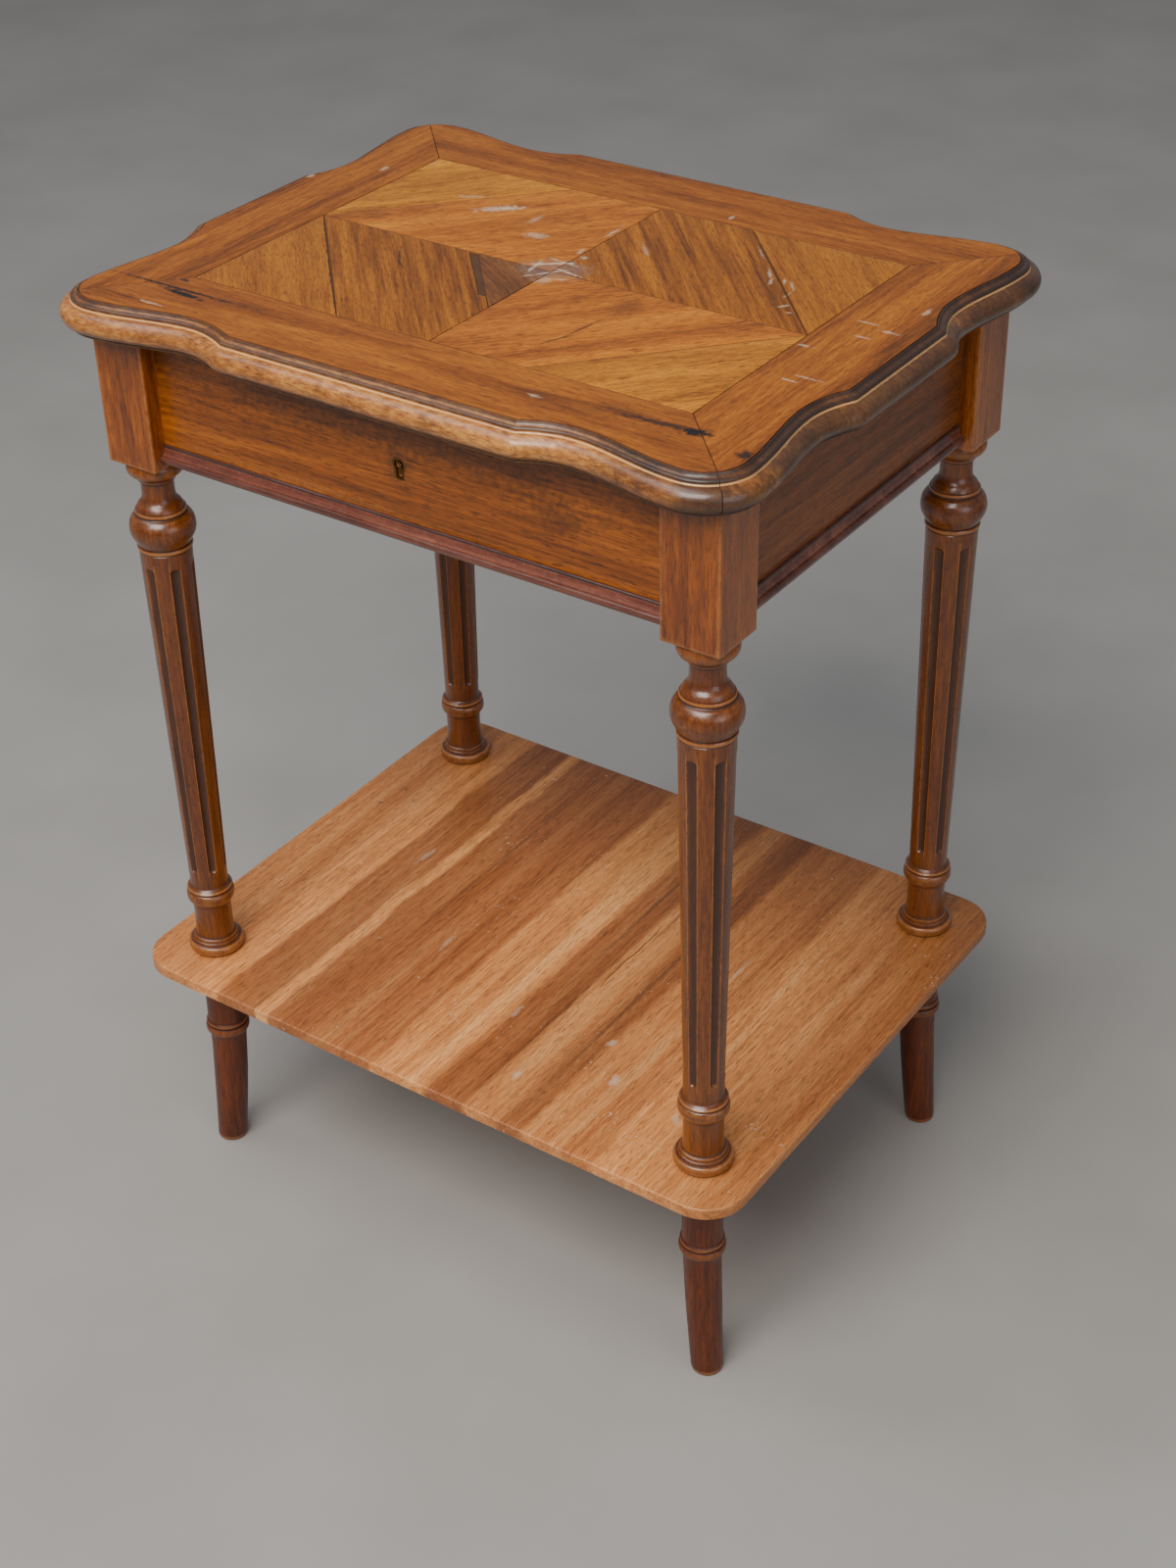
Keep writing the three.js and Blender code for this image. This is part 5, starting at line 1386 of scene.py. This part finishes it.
# %% Rail woods
def plain_inside(tree, spots, colour):
    """Bare, dusty wood on each face that doesn't look away from the middle of the box."""
    looks = add(tree, "ShaderNodeTexCoord", take="Normal")
    flat = add(tree, "ShaderNodeVectorMath", {0: spots, 1: (1, 1, 0)}, operation="MULTIPLY")
    outwards = add(tree, "ShaderNodeVectorMath", {0: looks, 1: flat}, take="Value",
                   operation="DOT_PRODUCT")
    inner = add(tree, "ShaderNodeMapRange", {"Value": outwards, "From Min": 0.1, "From Max": 0.05})
    return laid_over(tree, colour, inner, 0.85, "#a9794a")


def upright(tree, spots):
    """The same places seen from the front, with height in place of depth."""
    return add(tree, "ShaderNodeMapping", {"Vector": spots, "Rotation": (-math.pi / 2, 0, 0)})


def front_marks_and_lid_shadow(tree, spots, colour):
    """Dark drifts in the front rail's veneer, a burn-like blotch, grime round the keyhole, and the lid's
    shadow painted along the upper half.
    """
    face = upright(tree, spots)
    for shade, *row in (
        ("#3a1c0a", (116, 634), (22, 9), 4, 0.45), ("#2a1206", (116, 634), (9, 6), 0, 0.3),
        ("#4a260f", (-40, 612), (70, 2.4), -1, 0.35), ("#4a260f", (70, 606), (60, 2), 1, 0.3),
        ("#4a260f", (-120, 626), (50, 2), 1, 0.3), ("#3c1e0c", (20, 652), (90, 5), 0, 0.3),
        # The first mark on the next line, a wide dark band at 690 mm, is the lid overhang's shadow
        # painted along the upper half of the rail.
        ("#34190a", (0, 690), (280, 32), 0, 0.7), ("#4a260f", (-150, 655), (60, 3), -2, 0.3),
        ("#2a160a", (0, 638), (8, 11), 0, 0.45), ("#c98b4a", (-70, 600), (90, 5), 0, 0.25),
    ):
        colour = marked(tree, face, colour, shade, 0.6, 0.7, [row])
    return colour


# Sliced walnut veneer with long straight drifts, polished outside and bare within. The side rails
# are the darker, browner ones, darker wood with the shade on the box's side painted in as well.
RAIL_FINISH = dict(
    figure_mm=11, streak_mm=1.9, worn="#c08a50", grime="#2c1508", stretch=26, streaks=0.55,
    wear=0.35, gloss=0.42, coat=0.2, pores=0.6, inside=plain_inside,
)
rail_long = wood("walnut veneer along the rail", (0, 0, 0), ("#5d2b04", "#924c0a", "#b06213"),
                 marks=front_marks_and_lid_shadow, **RAIL_FINISH)
rail_short_shaded = wood("walnut veneer along the side rail", (0, 0, 90), ("#4a2208", "#7a4012", "#94521c"),
                  **RAIL_FINISH)
print("materials:", rail_long.name, "and", rail_short_shaded.name)


# %% Bare poplar
def dark_glue_face(tree, spots, colour):
    """Old glue and dirt on the face under the veneers, seen only in the open seams."""
    looks = add(tree, "ShaderNodeTexCoord", take="Normal")
    height = add(tree, "ShaderNodeSeparateXYZ", {"Vector": looks}, take="Z")
    upper = add(tree, "ShaderNodeMapRange", {"Value": height, "From Min": 0.8, "From Max": 0.95})
    return laid_over(tree, colour, upper, 0.92, "#40210f")


def planed_poplar(name, inside=None):
    """Pale, straight-grained and never polished, so it has no shine at all."""
    return wood(
        name, (0, 0, 0), ("#8c6238", "#b08655", "#c8a173"), 20, 2.6, worn="#d8b98d",
        grime="#4c2f18", stretch=18, streaks=0.45, wear=0.3, gloss=0.62, coat=0.0, pores=0.25,
        inside=inside,
    )


bare_poplar = planed_poplar("planed bare poplar", dark_glue_face)
bare_poplar_bottom = planed_poplar("planed bare poplar board")
print("materials:", bare_poplar.name, "and", bare_poplar_bottom.name)


# %% Dress the box
def dress(node, material):
    """Gives a frame node its material, the node itself staying as it is."""
    node.data.materials.clear()
    node.data.materials.append(material)


RAIL_WOODS = {"front": rail_long, "rear": rail_long, "left": rail_short_shaded, "right": rail_short_shaded}
for side, rail_wood in RAIL_WOODS.items():
    dress(nodes["rail_" + side], rail_wood)
for name, node in nodes.items():
    if name == "lid_core":
        dress(node, bare_poplar)
    elif name == "box_bottom" or "partition" in name:
        dress(node, bare_poplar_bottom)
print("rails, bottom, partitions and lid panel have their wood")

# %% [markdown]
# ## Brass and iron
# The lock is a small iron box with a shooting bolt, let into the front rail, and it locks into an
# iron plate under the lid. The hinges are brass butts with brass screws. Old brass is brown where
# nobody rubs it, and old iron is dull grey with rust spots in it.

# %% Metals
def aged_metal(name, clean, dull, spots_hex, rough, spread):
    """Metal whose polish has gone unevenly: dull cloudy film, then small spots of corrosion."""
    material, tree = blank_material(name)
    spots = add(tree, "ShaderNodeTexCoord", take="Object")
    cloud = add(tree, "ShaderNodeTexNoise", {"Vector": spots, "Scale": 120.0, "Detail": 5.0})
    film = add(tree, "ShaderNodeMapRange", {"Value": cloud, "From Min": 0.4, "From Max": 0.6})
    pits = add(tree, "ShaderNodeTexNoise", {"Vector": spots, "Scale": 520.0, "Detail": 3.0})
    pitted = add(tree, "ShaderNodeMapRange", {
        "Value": pits, "From Min": 1 - spread, "From Max": 1.06 - spread,
    })
    colour = laid_over(tree, linear(clean), film, 0.8, dull)
    colour = laid_over(tree, colour, pitted, 0.85, spots_hex)
    metal = add(tree, "ShaderNodeMapRange", {"Value": pitted, "To Min": 1.0, "To Max": 0.15})
    roughness = add(tree, "ShaderNodeMath", {0: film, 1: 0.18, 2: rough}, operation="MULTIPLY_ADD")
    roughness = add(tree, "ShaderNodeMath", {0: pitted, 1: 0.25, 2: roughness},
                    operation="MULTIPLY_ADD")
    bump = add(tree, "ShaderNodeBump", {"Strength": 0.3, "Distance": 0.00008, "Height": pits})
    shader = add(tree, "ShaderNodeBsdfPrincipled", {
        "Base Color": colour,
        "Metallic": metal,
        "Roughness": roughness,
        "Normal": bump,
    })
    add(tree, "ShaderNodeOutputMaterial", {"Surface": shader})
    return material


# Cast brass, filed and never lacquered, is a warm brown with small bright patches. Forged iron is a
# dull grey that rust has pitted. The patches and pits are about 8 mm and 2 mm apart.
old_brass = aged_metal("old unpolished brass", "#c39a52", "#7d5a2b", "#3c2a16", 0.3, 0.4)
old_iron = aged_metal("old wrought iron", "#8a8580", "#5f5853", "#4a2c1b", 0.38, 0.42)
for piece in frame["record"]["subparts"]:
    node = nodes[piece["node"]]
    if piece["material_slot"] in ("brass", "steel"):
        dress(node, old_brass if piece["material_slot"] == "brass" else old_iron)
        node.data.set_sharp_from_angle(angle=CRISP)
print("hinges, lock, bolt, strike plate and screws have their metal")

# %% [markdown]
# ## The keyhole's brass lining
# A thin strip of brass, bent to the keyhole's outline, is pressed into the front rail so that the
# key doesn't chew the wood. Its front lip is slightly rounded and dark with age. It is a small
# section carried round a closed path.

# %% Keyhole lining
KEY_Z = 638.0
KEY_ROUND = 3.6
KEY_SLOT_HALF = 2.2
KEY_HEIGHT = 12.0
# The strip's section: out from the hole's edge, and back from the rail's face.
LINING = (
    (0, 2.0), (0, 0.3), (0.12, 0.08), (0.35, 0.0), (0.85, 0.0), (1.08, 0.08), (1.2, 0.3), (1.2, 2.0),
)
# Rolled brass strip, handled by every key for a century and then left: nearly black.
dark_brass = aged_metal("dark old brass", "#8d6a38", "#4c3720", "#1d140c", 0.36, 0.45)


def keyhole_path():
    """The keyhole's outline from its middle, in metres: a round above a slot."""
    opening = math.asin(KEY_SLOT_HALF / KEY_ROUND)
    start, end = -math.pi / 2 + opening, 1.5 * math.pi - opening
    turns = [start + (end - start) * i / 30 for i in range(31)]
    path = [Vector((KEY_ROUND * math.cos(t), KEY_ROUND * math.sin(t))) for t in turns]
    foot = KEY_ROUND - KEY_HEIGHT
    path += [Vector((-KEY_SLOT_HALF, z)) for z in (-4.2, -6.0, foot + 0.5)]
    path += [Vector((x, foot)) for x in (0.5 - KEY_SLOT_HALF, 0, KEY_SLOT_HALF - 0.5)]
    path += [Vector((KEY_SLOT_HALF, z)) for z in (foot + 0.5, -6.0, -4.2)]
    return [spot * MM for spot in path]


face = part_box("rail_front")[0].y
path = keyhole_path()
layers = [drawn_in(path, [-off * MM] * len(path)) for off, _ in LINING]
loops = [
    [
        (layer[i].x, face + back * MM, KEY_Z * MM + layer[i].y)
        for layer, (_, back) in zip(layers, LINING)
    ]
    for i in range(len(path))
]
skin("keyhole_lining", loops, [[0.0] * len(LINING)] * len(loops), dark_brass, "frame",
     ["keyhole_liner"], ring=True)
print("keyhole lining:", len(loops), "loops")
